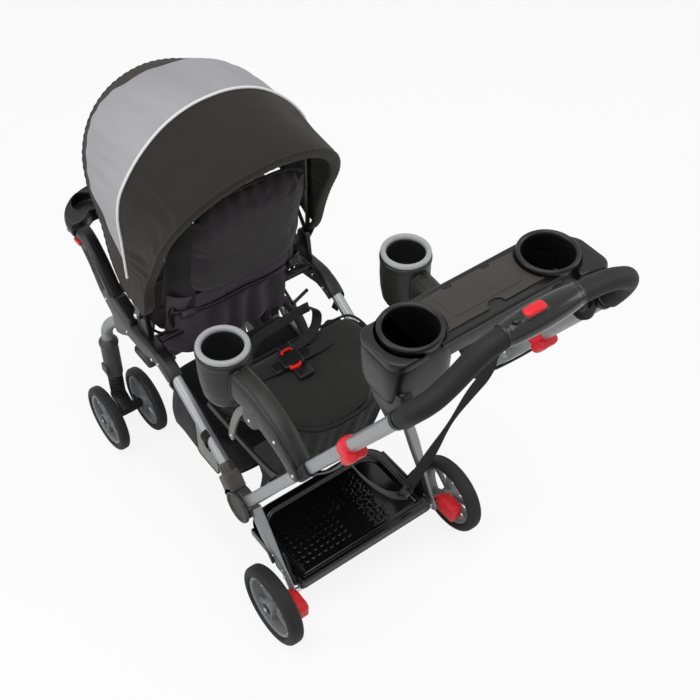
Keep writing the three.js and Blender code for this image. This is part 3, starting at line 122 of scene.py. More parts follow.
floor_mesh = bpy.data.meshes.new("floor")
floor_mesh.from_pydata([(-9, -9, 0), (9, -9, 0), (9, 9, 0), (-9, 9, 0)], [], [(0, 1, 2, 3)])
floor = bpy.data.objects.new("floor", floor_mesh)
floor.location.z = -0.0006
bpy.context.scene.collection.objects.link(floor)
pale = bpy.data.materials.new("pale floor")
pale.use_nodes = True
coat = pale.node_tree
coat.nodes.clear()
path = put(coat, "LightPath")
matt = put(coat, "BsdfDiffuse", {"Color": (0.93, 0.93, 0.93, 1)})
glow = put(coat, "Emission", {"Color": (1, 1, 1, 1), "Strength": 1})
part_glow = math_node(coat, "MULTIPLY", path.outputs["Is Camera Ray"], 0.86)
put(coat, "OutputMaterial", {"Surface": put(coat, "MixShader", {0: part_glow, 1: matt, 2: glow})})
floor_mesh.materials.append(pale)

for name, spot, size, watts in [
    ("overhead light", (0.5, 0.5, 3.6), 2.6, 58),
    ("left bank", (3.0, -0.6, 1.7), 1.8, 30),
    ("right bank", (-2.6, 1.6, 2.0), 1.6, 20),
]:
    lamp = bpy.data.lights.new(name, "AREA")
    lamp.size, lamp.energy = size, watts
    holder = bpy.data.objects.new(name, lamp)
    holder.location = spot
    holder.rotation_euler = (Vector((0, 0, 0.45)) - Vector(spot)).to_track_quat("-Z", "Y").to_euler()
    bpy.context.scene.collection.objects.link(holder)

# Rear wheels: foam tyres with a crowned tread on moulded grey rims of three spoke pairs.
# Each rim's barrel turns on the axle; a black cap hides the axle's end, with rivets beside it.
def skin(grid, around=False, along=False, ends=False):
    """Four-sided faces between neighbours (row i, column j) of a grid of points. around joins the last
    column to the first, along the last row to the first, and ends closes the first and last rows. The
    faces are turned round where the volume inside comes out negative."""
    grid = np.asarray(grid, float)
    rows, columns = grid.shape[:2]
    i = np.arange(rows if along else rows - 1)[:, None]
    j = np.arange(columns if around else columns - 1)[None, :]
    corners = [
        i * columns + j,
        i * columns + (j + 1) % columns,
        (i + 1) % rows * columns + (j + 1) % columns,
        (i + 1) % rows * columns + j,
    ]
    quads = np.stack(np.broadcast_arrays(*corners), -1).reshape(-1, 4)
    points = grid.reshape(-1, 3)
    middle = points - points.mean(0)
    a, b, c, d = (middle[quads[:, k]] for k in range(4))
    volume = np.sum(a * np.cross(b, c)) + np.sum(a * np.cross(c, d))
    faces = quads.tolist()
    if ends:
        faces += [list(range(columns))[::-1], list(range((rows - 1) * columns, rows * columns))]
    return points, [face[::-1] for face in faces] if volume < 0 else faces


def moved(shell, by=(0, 0, 0), turn=0, about=(0, 0, 0), axis=0):
    """The shell turned by an angle about an axis through a point (cosine and sine on the other two
    axes), then shifted."""
    points, faces = shell
    p, q = [(1, 2), (2, 0), (0, 1)][axis]
    out = np.array(points, float) - about
    c, s = np.cos(turn), np.sin(turn)
    out[:, p], out[:, q] = c * out[:, p] - s * out[:, q], s * out[:, p] + c * out[:, q]
    return out + about + by, faces


def mirrored(shell):
    """The shell reflected in the middle plane, its faces turned to point out again."""
    return shell[0] * (-1, 1, 1), [face[::-1] for face in shell[1]]


def on_side(shells, s):
    """Shells drawn on the left as they are for s = 1, and reflected to the right for s = -1."""
    return shells if s > 0 else [mirrored(shell) for shell in shells]


def soft(corners, radius, steps=4, closed=True):
    """A line through 2-D corners, each rounded by a parabola that leaves it `radius` before the corner
    and joins the next side `radius` after it, or half a side where that is shorter."""
    corners = np.asarray(corners, float)
    radius = np.broadcast_to(radius, len(corners))
    t = np.linspace(0, 1, steps + 1)[:, None]
    line = []
    for k, corner in enumerate(corners):
        if not closed and k in (0, len(corners) - 1):
            line.append(corner[None])
            continue
        before, after = corners[k - 1] - corner, corners[(k + 1) % len(corners)] - corner
        reach = [min(radius[k] / max(np.linalg.norm(way), 1e-9), 0.5) for way in (before, after)]
        start, end = corner + before * reach[0], corner + after * reach[1]
        line.append((1 - t) ** 2 * start + 2 * t * (1 - t) * corner + t**2 * end)
    return np.concatenate(line)


def arc_line(centre, radius, low, high, count):
    """Points on a circle about a 2-D centre, at even angles in degrees."""
    turn = np.radians(np.linspace(low, high, count))
    return np.asarray(centre) + radius * np.column_stack([np.cos(turn), np.sin(turn)])


def turned(profile, centre, axis=2, sides=48):
    """A profile of (radius, height) turned round an axis through a centre: cosine and sine of an even
    turn."""
    profile = np.asarray(profile, float)
    turn = np.linspace(0, 2 * np.pi, sides, endpoint=False)
    grid = np.empty((len(profile), sides, 3))
    p, q = [(1, 2), (2, 0), (0, 1)][axis]
    grid[..., p] = profile[:, :1] * np.cos(turn)
    grid[..., q] = profile[:, :1] * np.sin(turn)
    grid[..., axis] = profile[:, 1:]
    open_ends = bool(np.any(np.abs(profile[0] - profile[-1]) > 1e-6))
    return skin(grid + np.asarray(centre, float), around=True, ends=open_ends)


def smooth(points, count):
    """Points at even steps along a cubic through the given ones, whose slope at each is the chord past
    it over the chord lengths (a Hermite curve on the running length)."""
    points = np.asarray(points, float)
    step = np.linalg.norm(np.diff(points, axis=0), axis=1)
    points = points[np.concatenate([[True], step > 1e-6])]
    run = np.concatenate([[0], np.cumsum(np.linalg.norm(np.diff(points, axis=0), axis=1))])
    slope = np.gradient(points, run, axis=0, edge_order=min(2, len(points) - 1))
    fine = np.linspace(0, run[-1], count * 4)
    k = np.clip(np.searchsorted(run, fine, side="right") - 1, 0, len(run) - 2)
    span = (run[k + 1] - run[k])[:, None]
    t = (fine - run[k])[:, None] / span
    curve = (
        (2 * t**3 - 3 * t**2 + 1) * points[k]
        + (t**3 - 2 * t**2 + t) * span * slope[k]
        + (3 * t**2 - 2 * t**3) * points[k + 1]
        + (t**3 - t**2) * span * slope[k + 1]
    )
    length = np.concatenate([[0], np.cumsum(np.linalg.norm(np.diff(curve, axis=0), axis=1))])
    even = np.linspace(0, length[-1], count)
    return np.column_stack([np.interp(even, length, curve[:, n]) for n in range(curve.shape[1])])


def swept(line, wide, high=None, sides=20, power=2, facing=(1, 0, 0)):
    """A closed section carried along a line: at each point a superellipse of half sizes `wide` along
    `facing` made square to the line, and `high` across it, where |x/wide|^power + |y/high|^power = 1."""
    line = np.asarray(line, float)
    way = np.gradient(line, axis=0)
    way /= np.linalg.norm(way, axis=1, keepdims=True)
    side = np.broadcast_to(np.asarray(facing, float), line.shape)
    side = side - np.sum(side * way, axis=1, keepdims=True) * way
    side /= np.linalg.norm(side, axis=1, keepdims=True)
    other = np.cross(way, side)
    u = np.linspace(0, 2 * np.pi, sides, endpoint=False)
    c, s = np.cos(u), np.sin(u)
    c, s = np.sign(c) * np.abs(c) ** (2 / power), np.sign(s) * np.abs(s) ** (2 / power)
    wide = np.broadcast_to(wide, len(line))
    high = wide if high is None else np.broadcast_to(high, len(line))
    grid = (
        line[:, None] + (wide[:, None] * c)[..., None] * side[:, None]
        + (high[:, None] * s)[..., None] * other[:, None]
    )
    return skin(grid, around=True, ends=True)


def rod(start, end, count, wide, high=None, sides=20):
    """A straight round or oval rod from one point to another, drawn as a section carried along it."""
    return swept(np.linspace(start, end, count), wide, high, sides, facing=(0, 1, 0))


def slab(outline, low, high, edge=1.0, across=2, steps=3):
    """A flat outline given thickness from `low` to `high`, its rims rounded by a quarter circle: each
    ring is the outline drawn in along its own normal by edge*(1 - sin t) at a height of edge*(1 - cos t)
    from the face."""
    outline = np.asarray(outline, float)
    keep = np.linalg.norm(outline - np.roll(outline, 1, 0), axis=1) > 1e-6
    outline = outline[keep]
    tangent = np.roll(outline, -1, 0) - np.roll(outline, 1, 0)
    normal = np.column_stack([tangent[:, 1], -tangent[:, 0]]) / np.linalg.norm(
        tangent, axis=1, keepdims=True
    )
    x, y = outline.T
    if np.sum(x * np.roll(y, -1) - y * np.roll(x, -1)) < 0:
        normal = -normal
    t = np.linspace(0, np.pi / 2, steps + 1)
    inset = edge * (1 - np.sin(t))
    height = edge * (1 - np.cos(t))
    levels = list(zip(inset, low + height)) + list(zip(inset[::-1], high - height[::-1]))
    grid = np.empty((len(levels), len(outline), 3))
    p, q = [(1, 2), (2, 0), (0, 1)][across]
    for ring, (into, level_at) in zip(grid, levels):
        ring[:, p], ring[:, q] = (outline - normal * into).T
        ring[:, across] = level_at
    return skin(grid, around=True, ends=True)


def screw(at, way, radius=3.2, proud=1.6):
    """A pan-head screw: a low dome turned about its axis, with a round socket sunk in the middle."""
    socket = radius * 0.45
    profile = soft(
        [
            (radius, -1.5), (radius, proud * 0.4), (radius * 0.7, proud), (socket, proud), (socket, 0),
            (0, 0),
        ],
        0.5, 3, False,
    )
    points, faces = turned(profile, (0, 0, 0), 2, 18)
    turn = Vector((0, 0, 1)).rotation_difference(Vector(way)).to_matrix()
    return points @ np.array(turn).T + np.asarray(at, float), faces


def piece(name, shells, finish, body, stands_for=(), crease=35, merged=True):
    """One object from several shells of points and faces, numbered one after another. It rides a body,
    and stands for the model's own solids. Edges sharper than `crease` degrees stay sharp. Cloth with its
    own map keeps its points in the order they were drawn."""
    points = np.concatenate([shell[0] for shell in shells])
    starts = np.cumsum([0] + [len(shell[0]) for shell in shells])
    faces = [[v + start for v in face] for shell, start in zip(shells, starts) for face in shell[1]]
    mesh = bpy.data.meshes.new(name)
    mesh.from_pydata(row(points).tolist(), [], faces)
    if merged:
        work = bmesh.new()
        work.from_mesh(mesh)
        bmesh.ops.remove_doubles(work, verts=work.verts, dist=2e-6)
        work.to_mesh(mesh)
        work.free()
    mesh.shade_smooth()
    mesh.set_sharp_from_angle(angle=np.radians(crease))
    mesh.materials.append(finish)
    thing = bpy.data.objects.new(name, mesh)
    bpy.context.scene.collection.objects.link(thing)
    if body:
        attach(thing, body)
    if stands_for:
        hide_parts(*stands_for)
    return thing


def effect(name, inputs, outputs):
    """An empty shader node group with these named sockets, and its input and output ends."""
    tree = bpy.data.node_groups.new(name, "ShaderNodeTree")
    for label, kind, value in inputs:
        socket = tree.interface.new_socket(label, in_out="INPUT", socket_type="NodeSocket" + kind)
        if value is not None:
            socket.default_value = value
    for label, kind in outputs:
        tree.interface.new_socket(label, in_out="OUTPUT", socket_type="NodeSocket" + kind)
    return tree, tree.nodes.new("NodeGroupInput").outputs, tree.nodes.new("NodeGroupOutput").inputs


def use(tree, group, sockets):
    """A node group placed in a material with its own values."""
    node = tree.nodes.new("ShaderNodeGroup")
    node.node_tree = group
    for key, value in sockets.items():
        if isinstance(value, bpy.types.NodeSocket):
            tree.links.new(value, node.inputs[key])
        else:
            node.inputs[key].default_value = value
    return node.outputs


def ranged(tree, value, low, high, to_low=0.0, to_high=1.0):
    """A value from between `low` and `high` carried evenly to between `to_low` and `to_high`, and held
    there."""
    limits = {"From Min": low, "From Max": high, "To Min": to_low, "To Max": to_high}
    return put(tree, "MapRange", {"Value": value, **limits})


grain, given, out = effect(
    "moulding grain", [("Place", "Vector", None), ("Grain", "Float", 900)],
    [("Height", "Float"), ("Cloud", "Float")]
)
fine = put(grain, "TexNoise", {"Vector": given["Place"], "Scale": given["Grain"], "Detail": 2.0})
cloud = put(grain, "TexNoise", {"Vector": given["Place"], "Scale": 14.0, "Detail": 3.0})
grain.links.new(fine.outputs[0], out["Height"])
grain.links.new(cloud.outputs[0], out["Cloud"])

# Painted edge highlight with a little wear: a lighter colour painted on ridges where the curvature runs
# high, broken into patches by a noise. It is mostly painted highlight along the edges, with some patchy
# wear.
highlight_and_wear, given, out = effect(
    "edge wear", [("Place", "Vector", None), ("Amount", "Float", 0.5)], [("Mask", "Float")]
)
curve = put(highlight_and_wear, "NewGeometry").outputs["Pointiness"]
patch = put(highlight_and_wear, "TexNoise", {"Vector": given["Place"], "Scale": 60.0, "Detail": 4.0})
ridge = ranged(highlight_and_wear, curve, 0.53, 0.66)
highlight_and_rub = math_node(highlight_and_wear, "MULTIPLY", ridge, patch)
highlight_and_rub = math_node(highlight_and_wear, "MULTIPLY", highlight_and_rub, given["Amount"])
highlight_and_wear.links.new(highlight_and_rub.outputs[0], out["Mask"])


def moulded(name, colour, rough, on_ridges=None, grain_size=900, depth=0.02, amount=0.8, spread=0.08, **own):
    """A moulded or painted surface: its colour turns lighter on ridges, a painted highlight along the edges
    with a little patchy wear, its roughness drifts by a broad cloud, and a fine grain lifts it a few
    hundredths of a millimetre. `own` sets the shader's own sockets."""
    material = bpy.data.materials.new(name)
    material.use_nodes = True
    tree = material.node_tree
    shader = tree.nodes["Principled BSDF"]
    here = put(tree, "TexCoord").outputs["Object"]
    surface = use(tree, grain, {"Place": here, "Grain": grain_size})
    ridge = use(tree, highlight_and_wear, {"Place": here, "Amount": amount})
    # The ridge colour is a painted edge highlight with a little wear: unless given, the base colour made
    # lighter.
    on_ridges = on_ridges or tuple(min(1, 1.6 * c + 0.012) for c in colour)
    paint = put(tree, "Mix", {0: ridge["Mask"], 6: (*colour, 1), 7: (*on_ridges, 1)}, data_type="RGBA")
    tree.links.new(paint.outputs[2], shader.inputs["Base Color"])
    drift = ranged(tree, surface["Cloud"], 0.3, 0.7, rough - spread / 2, rough + spread / 2)
    tree.links.new(drift.outputs[0], shader.inputs["Roughness"])
    bump = put(tree, "Bump", {"Strength": 0.35, "Distance": depth / 1000, "Height": surface["Height"]})
    tree.links.new(bump.outputs[0], shader.inputs["Normal"])
    shader.inputs["Specular IOR Level"].default_value = 0.28
    for socket, value in own.items():
        shader.inputs[socket.replace("_", " ")].default_value = value
    return material


tyre_foam = moulded("tyre foam", (0.014, 0.014, 0.0145), 0.62, (0.035, 0.035, 0.034), 420, 0.12, 0.9, 0.14)
rim_grey = moulded("rim grey", (0.20, 0.205, 0.21), 0.42, (0.36, 0.365, 0.37), 1200, 0.02, 0.6, 0.08)
hub_black = moulded("hub cap black", (0.007, 0.007, 0.007), 0.38)
bright_steel = moulded(
    "bright steel", (0.62, 0.63, 0.64), 0.24, (0.75, 0.75, 0.75), 1500, 0.01, 0.5, 0.08, Metallic=1.0
)


def tyre(radius, width, wall):
    """Tyre: a section turned about the axle. From the bead up the side to a low shoulder ridge, over a
    crown that falls away as the fourth power of the way across, with two shallow grooves round the
    tread."""
    across = np.linspace(-1, 1, 41)
    crown = radius - wall * 0.42 * np.abs(across) ** 4.2
    for groove in (-0.34, 0.34):
        crown -= 0.9 * np.exp(-(((across - groove) / 0.045) ** 2))
    tread = np.column_stack([crown, across * width * 0.48])
    inner = radius - wall
    side = [
        (inner, 0.36), (inner + 1.2, 0.43), (inner + wall * 0.22, 0.475), (inner + wall * 0.30, 0.5),
        (inner + wall * 0.36, 0.5), (inner + wall * 0.42, 0.485),
    ]
    left = [(r, -w * width) for r, w in side]
    right_side = [(r, w * width) for r, w in side[::-1]]
    return np.concatenate([left, tread, right_side, left[:1]])


def wheel(name, centre, width, wall, hub_radius, outward, spoke=15):
    """Wheel: tyre, rim channel, three pairs of tapering spokes at even thirds of a turn, barrel, cap and
    rivets. Its radius is its centre's height. It rides the body of its own name, in place of a tyre node
    and a rim node."""
    radius = centre[2]
    outer = radius - wall
    rim_half = width * 0.33
    ring = [(outer - 0.3, -rim_half), (outer - 0.3, rim_half), (outer - 2.5, rim_half + 1.6)]
    ring += [(outer - 8, rim_half - 1), (outer - 9, 0), (outer - 8, -rim_half + 1)]
    ring = soft([*ring, (outer - 2.5, -rim_half - 1.6)], 1.4, 3)
    shells = [turned(np.vstack([ring, ring[:1]]), (0, 0, 0), 0, 96)]
    half = [(0, width / 2), (hub_radius - 2, width / 2), (hub_radius, width / 2 - 5)]
    barrel = soft([*[(r, -w) for r, w in half], (hub_radius + 2, 0), *half[::-1]], 2, 3, False)
    shells.append(turned(barrel, (0, 0, 0), 0, 48))
    rivets = []
    for third in range(3):
        for lean in (-1, 1):
            turn = 2 * np.pi * third / 3 + lean * 0.33
            edge = [(hub_radius * 0.6, spoke * 0.42), (outer * 0.62, spoke * 0.34)]
            edge.append((outer - 5, spoke * 0.62))
            blade = soft([*[(r, -w) for r, w in edge], *edge[::-1]], 7, 4)
            shells.append(moved(slab(blade, -4.5, 4.5, 1.6, 0), turn=turn))
            rib = soft([(hub_radius, -1.6), (outer - 9, -2.2), (outer - 9, 2.2), (hub_radius, 1.6)], 1, 2)
            shells.append(moved(slab(rib, -6.2, 6.2, 1.2, 0), turn=turn))
            if lean == 1:
                at = (0, np.cos(turn) * outer * 0.66, np.sin(turn) * outer * 0.66)
                rivets.append(screw(np.array(at) + (outward * 4.6, 0, 0), (outward, 0, 0), 2.6, 1.4))
    centre = np.asarray(centre, float)
    put_at = lambda shell: (shell[0] + centre, shell[1])
    piece(
        f"{name}_rim", [put_at(s) for s in shells], rim_grey, name,
        (name.replace("wheel", "rim"),),
    )
    piece(f"{name}_rivets", [put_at(s) for s in rivets], bright_steel, name)
    cap = soft(
        [
            (0, width / 2 + 3.2), (hub_radius * 0.5, width / 2 + 3), (hub_radius * 0.78, width / 2 + 1.4),
            (hub_radius * 0.8, width / 2 - 2),
        ],
        1.2, 3, False,
    )
    caps = [turned(cap, (0, 0, 0), 0, 36)]
    caps = on_side(caps, outward)
    piece(f"{name}_cap", [put_at(s) for s in caps], hub_black, name)
    piece(
        f"{name}_tyre", [put_at(turned(tyre(radius, width, wall), (0, 0, 0), 0, 120))], tyre_foam,
        name, (name.replace("wheel", "tyre"),), 50,
    )


SIDES = [("left", 1), ("right", -1)]
AXLE_Z, REAR_OUT = 92, 238
CASTER_X, CASTER_Y, CASTER_Z, PAIR_HALF = 208, -424, 82, 50.5
for side, s in SIDES:
    wheel(f"rear_wheel_{side}", (s * REAR_OUT, AXLE_Y, AXLE_Z), 35, 20, 17, s)
    for where, lean in (("outer", 1), ("inner", -1)):
        middle = (s * (CASTER_X + lean * PAIR_HALF), CASTER_Y, CASTER_Z)
        wheel(f"front_wheel_{side}_{where}", middle, 26, 17, 15, s * lean, 12)

# Canopy: one sheet of woven polyester over three bows that turn on a bolt in each housing's ear. The rear
# panel and the front band are black, the one between is grey, and white piping is sewn in along the middle
# bow. The rear edge is rolled round its bow and double stitched, and the sides hang slack and wrinkle.
PIVOT_Y, PIVOT_Z = -264, 525


def round_pivot(across, reach, angle):
    """A point by its distance from the canopy's bolt and its angle from straight back, upwards and
    forward."""
    return np.stack(
        np.broadcast_arrays(across, PIVOT_Y + reach * np.cos(angle), PIVOT_Z + reach * np.sin(angle)), -1
    )


def between(knots, values, at):
    """Values between knots by a Hermite cubic whose slopes are the mean slopes of the neighbouring
    spans."""
    knots, values = np.asarray(knots, float), np.asarray(values, float)
    slope = np.gradient(values, knots, axis=0)
    k = np.clip(np.searchsorted(knots, at, side="right") - 1, 0, len(knots) - 2)
    span = (knots[k + 1] - knots[k]).reshape((-1,) + (1,) * (values.ndim - 1))
    t = (np.asarray(at) - knots[k]).reshape(span.shape) / span
    return (
        (2 * t**3 - 3 * t**2 + 1) * values[k] + (t**3 - 2 * t**2 + t) * span * slope[k]
        + (3 * t**2 - 2 * t**3) * values[k + 1] + (t**3 - t**2) * span * slope[k + 1]
    )


def ease(value, low, high):
    """0 below low, 1 above high, and 3t^2 - 2t^3 between."""
    t = np.clip((np.asarray(value, float) - low) / (high - low), 0, 1)
    return t * t * (3 - 2 * t)


bow_angles = np.radians([64, 90, 115, 125])
half_bows = [
    [
        (219.5, 46), (218, 120), (210, 200), (204, 290), (190, 336), (150, 400), (100, 440), (50, 459),
        (0, 465),
    ],
    [
        (219.5, 46), (219.5, 130), (219, 200), (218, 266), (208, 308), (190, 338), (151, 383), (102, 419),
        (50, 438), (0, 443),
    ],
    [
        (219.5, 46), (219.5, 130), (215, 224), (208, 310), (192, 358), (155, 405), (100, 438), (50, 449),
        (0, 452),
    ],
    [
        (219.5, 62), (218, 130), (208, 200), (203, 279), (188, 336), (152, 391), (91, 435), (45, 450),
        (0, 455),
    ],
]
HALF_STEPS = 110
sections = np.array([smooth(half, HALF_STEPS) for half in half_bows])


def canopy_grid(low_angle, high_angle, rows, lift=0.0, slack=1.0):
    """The cover as rows of constant angle: sections (x, reach) at even shares of their length, carried
    from bow to bow by the Hermite cubic, dipped by 7 sin(pi t) in each bay, and wrinkled by a few
    cosines near its sides. Near the bolt the rear edge swings back by a bell curve. `lift` moves it out
    along its own normal."""
    angle = np.linspace(low_angle, high_angle, rows)
    half = between(bow_angles, sections, angle)
    x = np.concatenate([half[..., 0], -half[:, -2::-1, 0]], 1)
    reach = np.concatenate([half[..., 1], half[:, -2::-1, 1]], 1)
    back = np.clip((bow_angles[1] - angle) / (bow_angles[1] - bow_angles[0]), 0, 1)[:, None]
    swing = np.radians(15 + 6 * np.sign(x)) * np.exp(-(((reach - 46) / 52) ** 2)) * back**1.5
    grid = round_pivot(x, reach, angle[:, None] - swing)
    run = np.linalg.norm(np.diff(grid, axis=1), axis=2)
    run = np.concatenate([np.zeros((rows, 1)), np.cumsum(run, axis=1)], 1)
    low = np.minimum(run, run[:, -1:] - run)
    normal = np.cross(np.gradient(grid, axis=0), np.gradient(grid, axis=1))
    normal /= np.linalg.norm(normal, axis=2, keepdims=True) + 1e-12
    outward = grid - (0, PIVOT_Y, PIVOT_Z)
    normal *= np.where(np.sum(normal * outward, axis=2, keepdims=True) < 0, -1, 1)
    rear = np.clip((angle - bow_angles[0]) / (bow_angles[1] - bow_angles[0]), 0, 1)[:, None]
    front = np.clip((angle - bow_angles[1]) / (bow_angles[3] - bow_angles[1]), 0, 1)[:, None]
    dip = (6.5 * np.sin(np.pi * rear) + 8.5 * np.sin(np.pi * front)) * ease(low, 60, 330)
    other = np.sign(x) * 9.0
    folds = 2.3 * np.sin(np.pi * rear) ** 0.8 * ease(low, 70, 150) * (1 - ease(low, 290, 430))
    folds = folds * np.cos(2 * np.pi * (low + 30 * rear + other) / (29 + 6 * np.sin(low / 61 + other)))
    soft_folds = 1.6 * np.sin(np.pi * front) * ease(low, 110, 200) * (1 - ease(low, 420, 620))
    soft_folds = soft_folds * np.cos(2 * np.pi * (low - 34 * front - other) / (52 + 8 * np.sin(low / 90)))
    pull = 1.2 * np.exp(
        -(((rear - 0.1) / 0.08) ** 2)
    ) * np.sin(low / 8.5) * ease(low, 30, 90) * (1 - ease(low, 330, 420))
    return grid + normal * (
        slack * (-dip + folds + soft_folds + pull) + lift
    )[..., None], normal, low, angle


def lay_uv(mesh, name, per_point):
    """A UV map from one pair of numbers for each point."""
    corner = np.empty(len(mesh.loops), int)
    mesh.loops.foreach_get("vertex_index", corner)
    mesh.uv_layers.new(name=name).data.foreach_set(
        "uv", np.asarray(per_point, float)[corner].astype(np.float32).ravel()
    )


def lay_flat(thing, *axes):
    """A Cloth map read straight off two of the piece's own coordinates."""
    lay_uv(thing.data, "Cloth", np.array([v.co for v in thing.data.vertices])[:, axes])


weave, given, out = effect(
    "plain weave", [("Place", "Vector", None), ("Thread", "Float", 0.001)],
    [("Height", "Float"), ("Shade", "Float")]
)
turns = math_node(weave, "DIVIDE", 6.2832, given["Thread"])
scaled = put(weave, "VectorMath", {0: given["Place"], 3: turns}, operation="SCALE")
lanes = put(weave, "SeparateXYZ", {0: scaled})
warp = put(weave, "Math", {0: lanes.outputs[0]}, operation="SINE")
weft = put(weave, "Math", {0: lanes.outputs[1]}, operation="SINE")
cross = math_node(weave, "MULTIPLY", warp, weft)
high = ranged(weave, cross, -1.0, 1.0)
uneven = put(weave, "TexNoise", {"Vector": given["Place"], "Scale": 350.0, "Detail": 2.0})
shade = math_node(weave, "ADD", high, uneven)
shade = ranged(weave, shade, 0.4, 1.6)
weave.links.new(high.outputs[0], out["Height"])
weave.links.new(shade.outputs[0], out["Shade"])

rumple, given, out = effect(
    "rumple", [("Place", "Vector", None), ("Size", "Float", 12.0)], [("Height", "Float")]
)
wide = put(rumple, "Mapping", {"Vector": given["Place"], "Scale": (1.0, 2.6, 1.0)})
crease_noise = put(
    rumple, "TexNoise",
    {"Vector": wide, "Scale": given["Size"], "Detail": 4.0, "Roughness": 0.45, "Distortion": 0.8},
)
rumple.links.new(crease_noise.outputs[0], out["Height"])


def cloth(name, colour, thread=0.0011, lighter=None, sheen=0.18, folds=0.004, fold_size=11.0):
    """A woven material on the piece's own Cloth map: threads shade and lift it, broad rumples bump
    it."""
    material = bpy.data.materials.new(name)
    material.use_nodes = True
    tree = material.node_tree
    shader = tree.nodes["Principled BSDF"]
    place_on = put(tree, "UVMap", uv_map="Cloth").outputs[0]
    threads = use(tree, weave, {"Place": place_on, "Thread": thread})
    lumps = use(tree, rumple, {"Place": place_on, "Size": fold_size})
    lighter = lighter or tuple(c * 1.5 + 0.004 for c in colour)
    tone = put(tree, "Mix", {0: threads["Shade"], 6: (*colour, 1), 7: (*lighter, 1)}, data_type="RGBA")
    tree.links.new(tone.outputs[2], shader.inputs["Base Color"])
    on_ridges = put(tree, "MapRange", {"Value": lumps["Height"], "To Min": 0.82, "To Max": 0.96})
    tree.links.new(on_ridges.outputs[0], shader.inputs["Roughness"])
    broad = put(tree, "Bump", {"Strength": 0.5, "Distance": folds, "Height": lumps["Height"]})
    fine = put(
        tree, "Bump", {"Strength": 0.4, "Distance": 0.00025, "Height": threads["Height"], "Normal": broad}
    )
    tree.links.new(fine.outputs[0], shader.inputs["Normal"])
    shader.inputs["Sheen Weight"].default_value = sheen
    shader.inputs["Sheen Roughness"].default_value = 0.45
    shader.inputs["Specular IOR Level"].default_value = 0.25
    return material


canopy_cloth = cloth(
    "canopy cloth", (0.015, 0.0135, 0.0125), 0.0012, (0.026, 0.023, 0.021), 0.08, 0.003, 8.0
)
tree = canopy_cloth.node_tree
panel = put(tree, "SeparateXYZ", {0: put(tree, "UVMap", uv_map="Panel")})
angle_here, low_here = panel.outputs[0], panel.outputs[1]
drift = put(tree, "TexNoise", {"Vector": put(tree, "UVMap", uv_map="Cloth"), "Scale": 9.0, "Detail": 2.0})
edge_wave = ranged(tree, drift, 0.3, 0.7, -0.012, 0.012)
edge_level = ranged(tree, low_here, 0.36, 0.6, 1.205, 1.145)
tail_level = ranged(tree, low_here, 0.09, 0.225, 0.91, 1.22)
edge_level = math_node(tree, "MINIMUM", edge_level, tail_level)
edge_angle = math_node(tree, "ADD", edge_wave, edge_level)
ahead_of_piping = math_node(tree, "GREATER_THAN", angle_here, 0.9)
behind_band = math_node(tree, "LESS_THAN", angle_here, edge_angle)
above_tail = math_node(tree, "GREATER_THAN", low_here, 0.062)
is_grey = math_node(tree, "MULTIPLY", ahead_of_piping, behind_band)
is_grey = math_node(tree, "MULTIPLY", is_grey, above_tail)
stretched = put(tree, "Mapping", {"Vector": put(tree, "UVMap", uv_map="Cloth"), "Scale": (9.0, 2.2, 1.0)})
streak = put(tree, "TexNoise", {"Vector": stretched, "Scale": 1.6, "Detail": 3.0})
grey_tone = put(
    tree, "Mix", {0: streak, 6: (0.30, 0.298, 0.325, 1), 7: (0.44, 0.436, 0.455, 1)}, data_type="RGBA"
)
shader = tree.nodes["Principled BSDF"]
black_tone = shader.inputs["Base Color"].links[0].from_socket
panels = put(tree, "Mix", {0: is_grey, 6: black_tone, 7: grey_tone.outputs[2]}, data_type="RGBA")
tree.links.new(panels.outputs[2], shader.inputs["Base Color"])

REAR, FRONT = np.radians(64.0), np.radians(125.5)
outer, normal, low, angle = canopy_grid(REAR, FRONT, 124)
THICK = 1.4
inner = outer - normal * THICK
rings = np.concatenate([outer, inner[::-1]], 0).transpose(1, 0, 2)
across_run = np.linalg.norm(np.diff(outer, axis=1), axis=2).mean(0)
across_run = np.concatenate([[0], np.cumsum(across_run)])
along_run = np.linalg.norm(np.diff(outer, axis=0), axis=2)[:, HALF_STEPS]
along_run = np.concatenate([[0], np.cumsum(along_run)])
uv_cloth = np.stack(np.broadcast_arrays(across_run[None, :], along_run[:, None]), -1) / 1000
uv_panel = np.stack(np.broadcast_arrays(np.degrees(angle)[:, None] / 100, low / 1000), -1)
both_faces = lambda uv, inside: np.concatenate([uv, inside[::-1]], 0).transpose(1, 0, 2).reshape(-1, 2)
cover = piece(
    "canopy", [skin(rings, around=True, ends=True)], canopy_cloth, None, ("canopy_cover",),
    60, False,
)
lay_uv(cover.data, "Cloth", both_faces(uv_cloth, uv_cloth))
lay_uv(cover.data, "Panel", both_faces(uv_panel, uv_panel * (0, 1)))
fold_start, fold_end = (tuple(row(round_pivot(0, 450, a))) for a in (FRONT, REAR))
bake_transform(cover)
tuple(fold_start)
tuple(fold_end)

piping_white = cloth("white piping", (0.72, 0.72, 0.72), 0.0014, (0.84, 0.84, 0.84), 0.1, 0.0005)
mid_line, _, mid_low, _ = canopy_grid(bow_angles[1], bow_angles[1] + 0.01, 2, 2.2)
keep = mid_low[0] > 58
pipe_line = mid_line[0][keep]
pipe = piece(
    "canopy_piping", [swept(pipe_line, 2.9, sides=10, facing=(0.2, 1, 0.1))], piping_white,
    None,
)
lay_flat(pipe, 0, 2)
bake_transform(pipe)
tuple(fold_start)
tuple(fold_end)

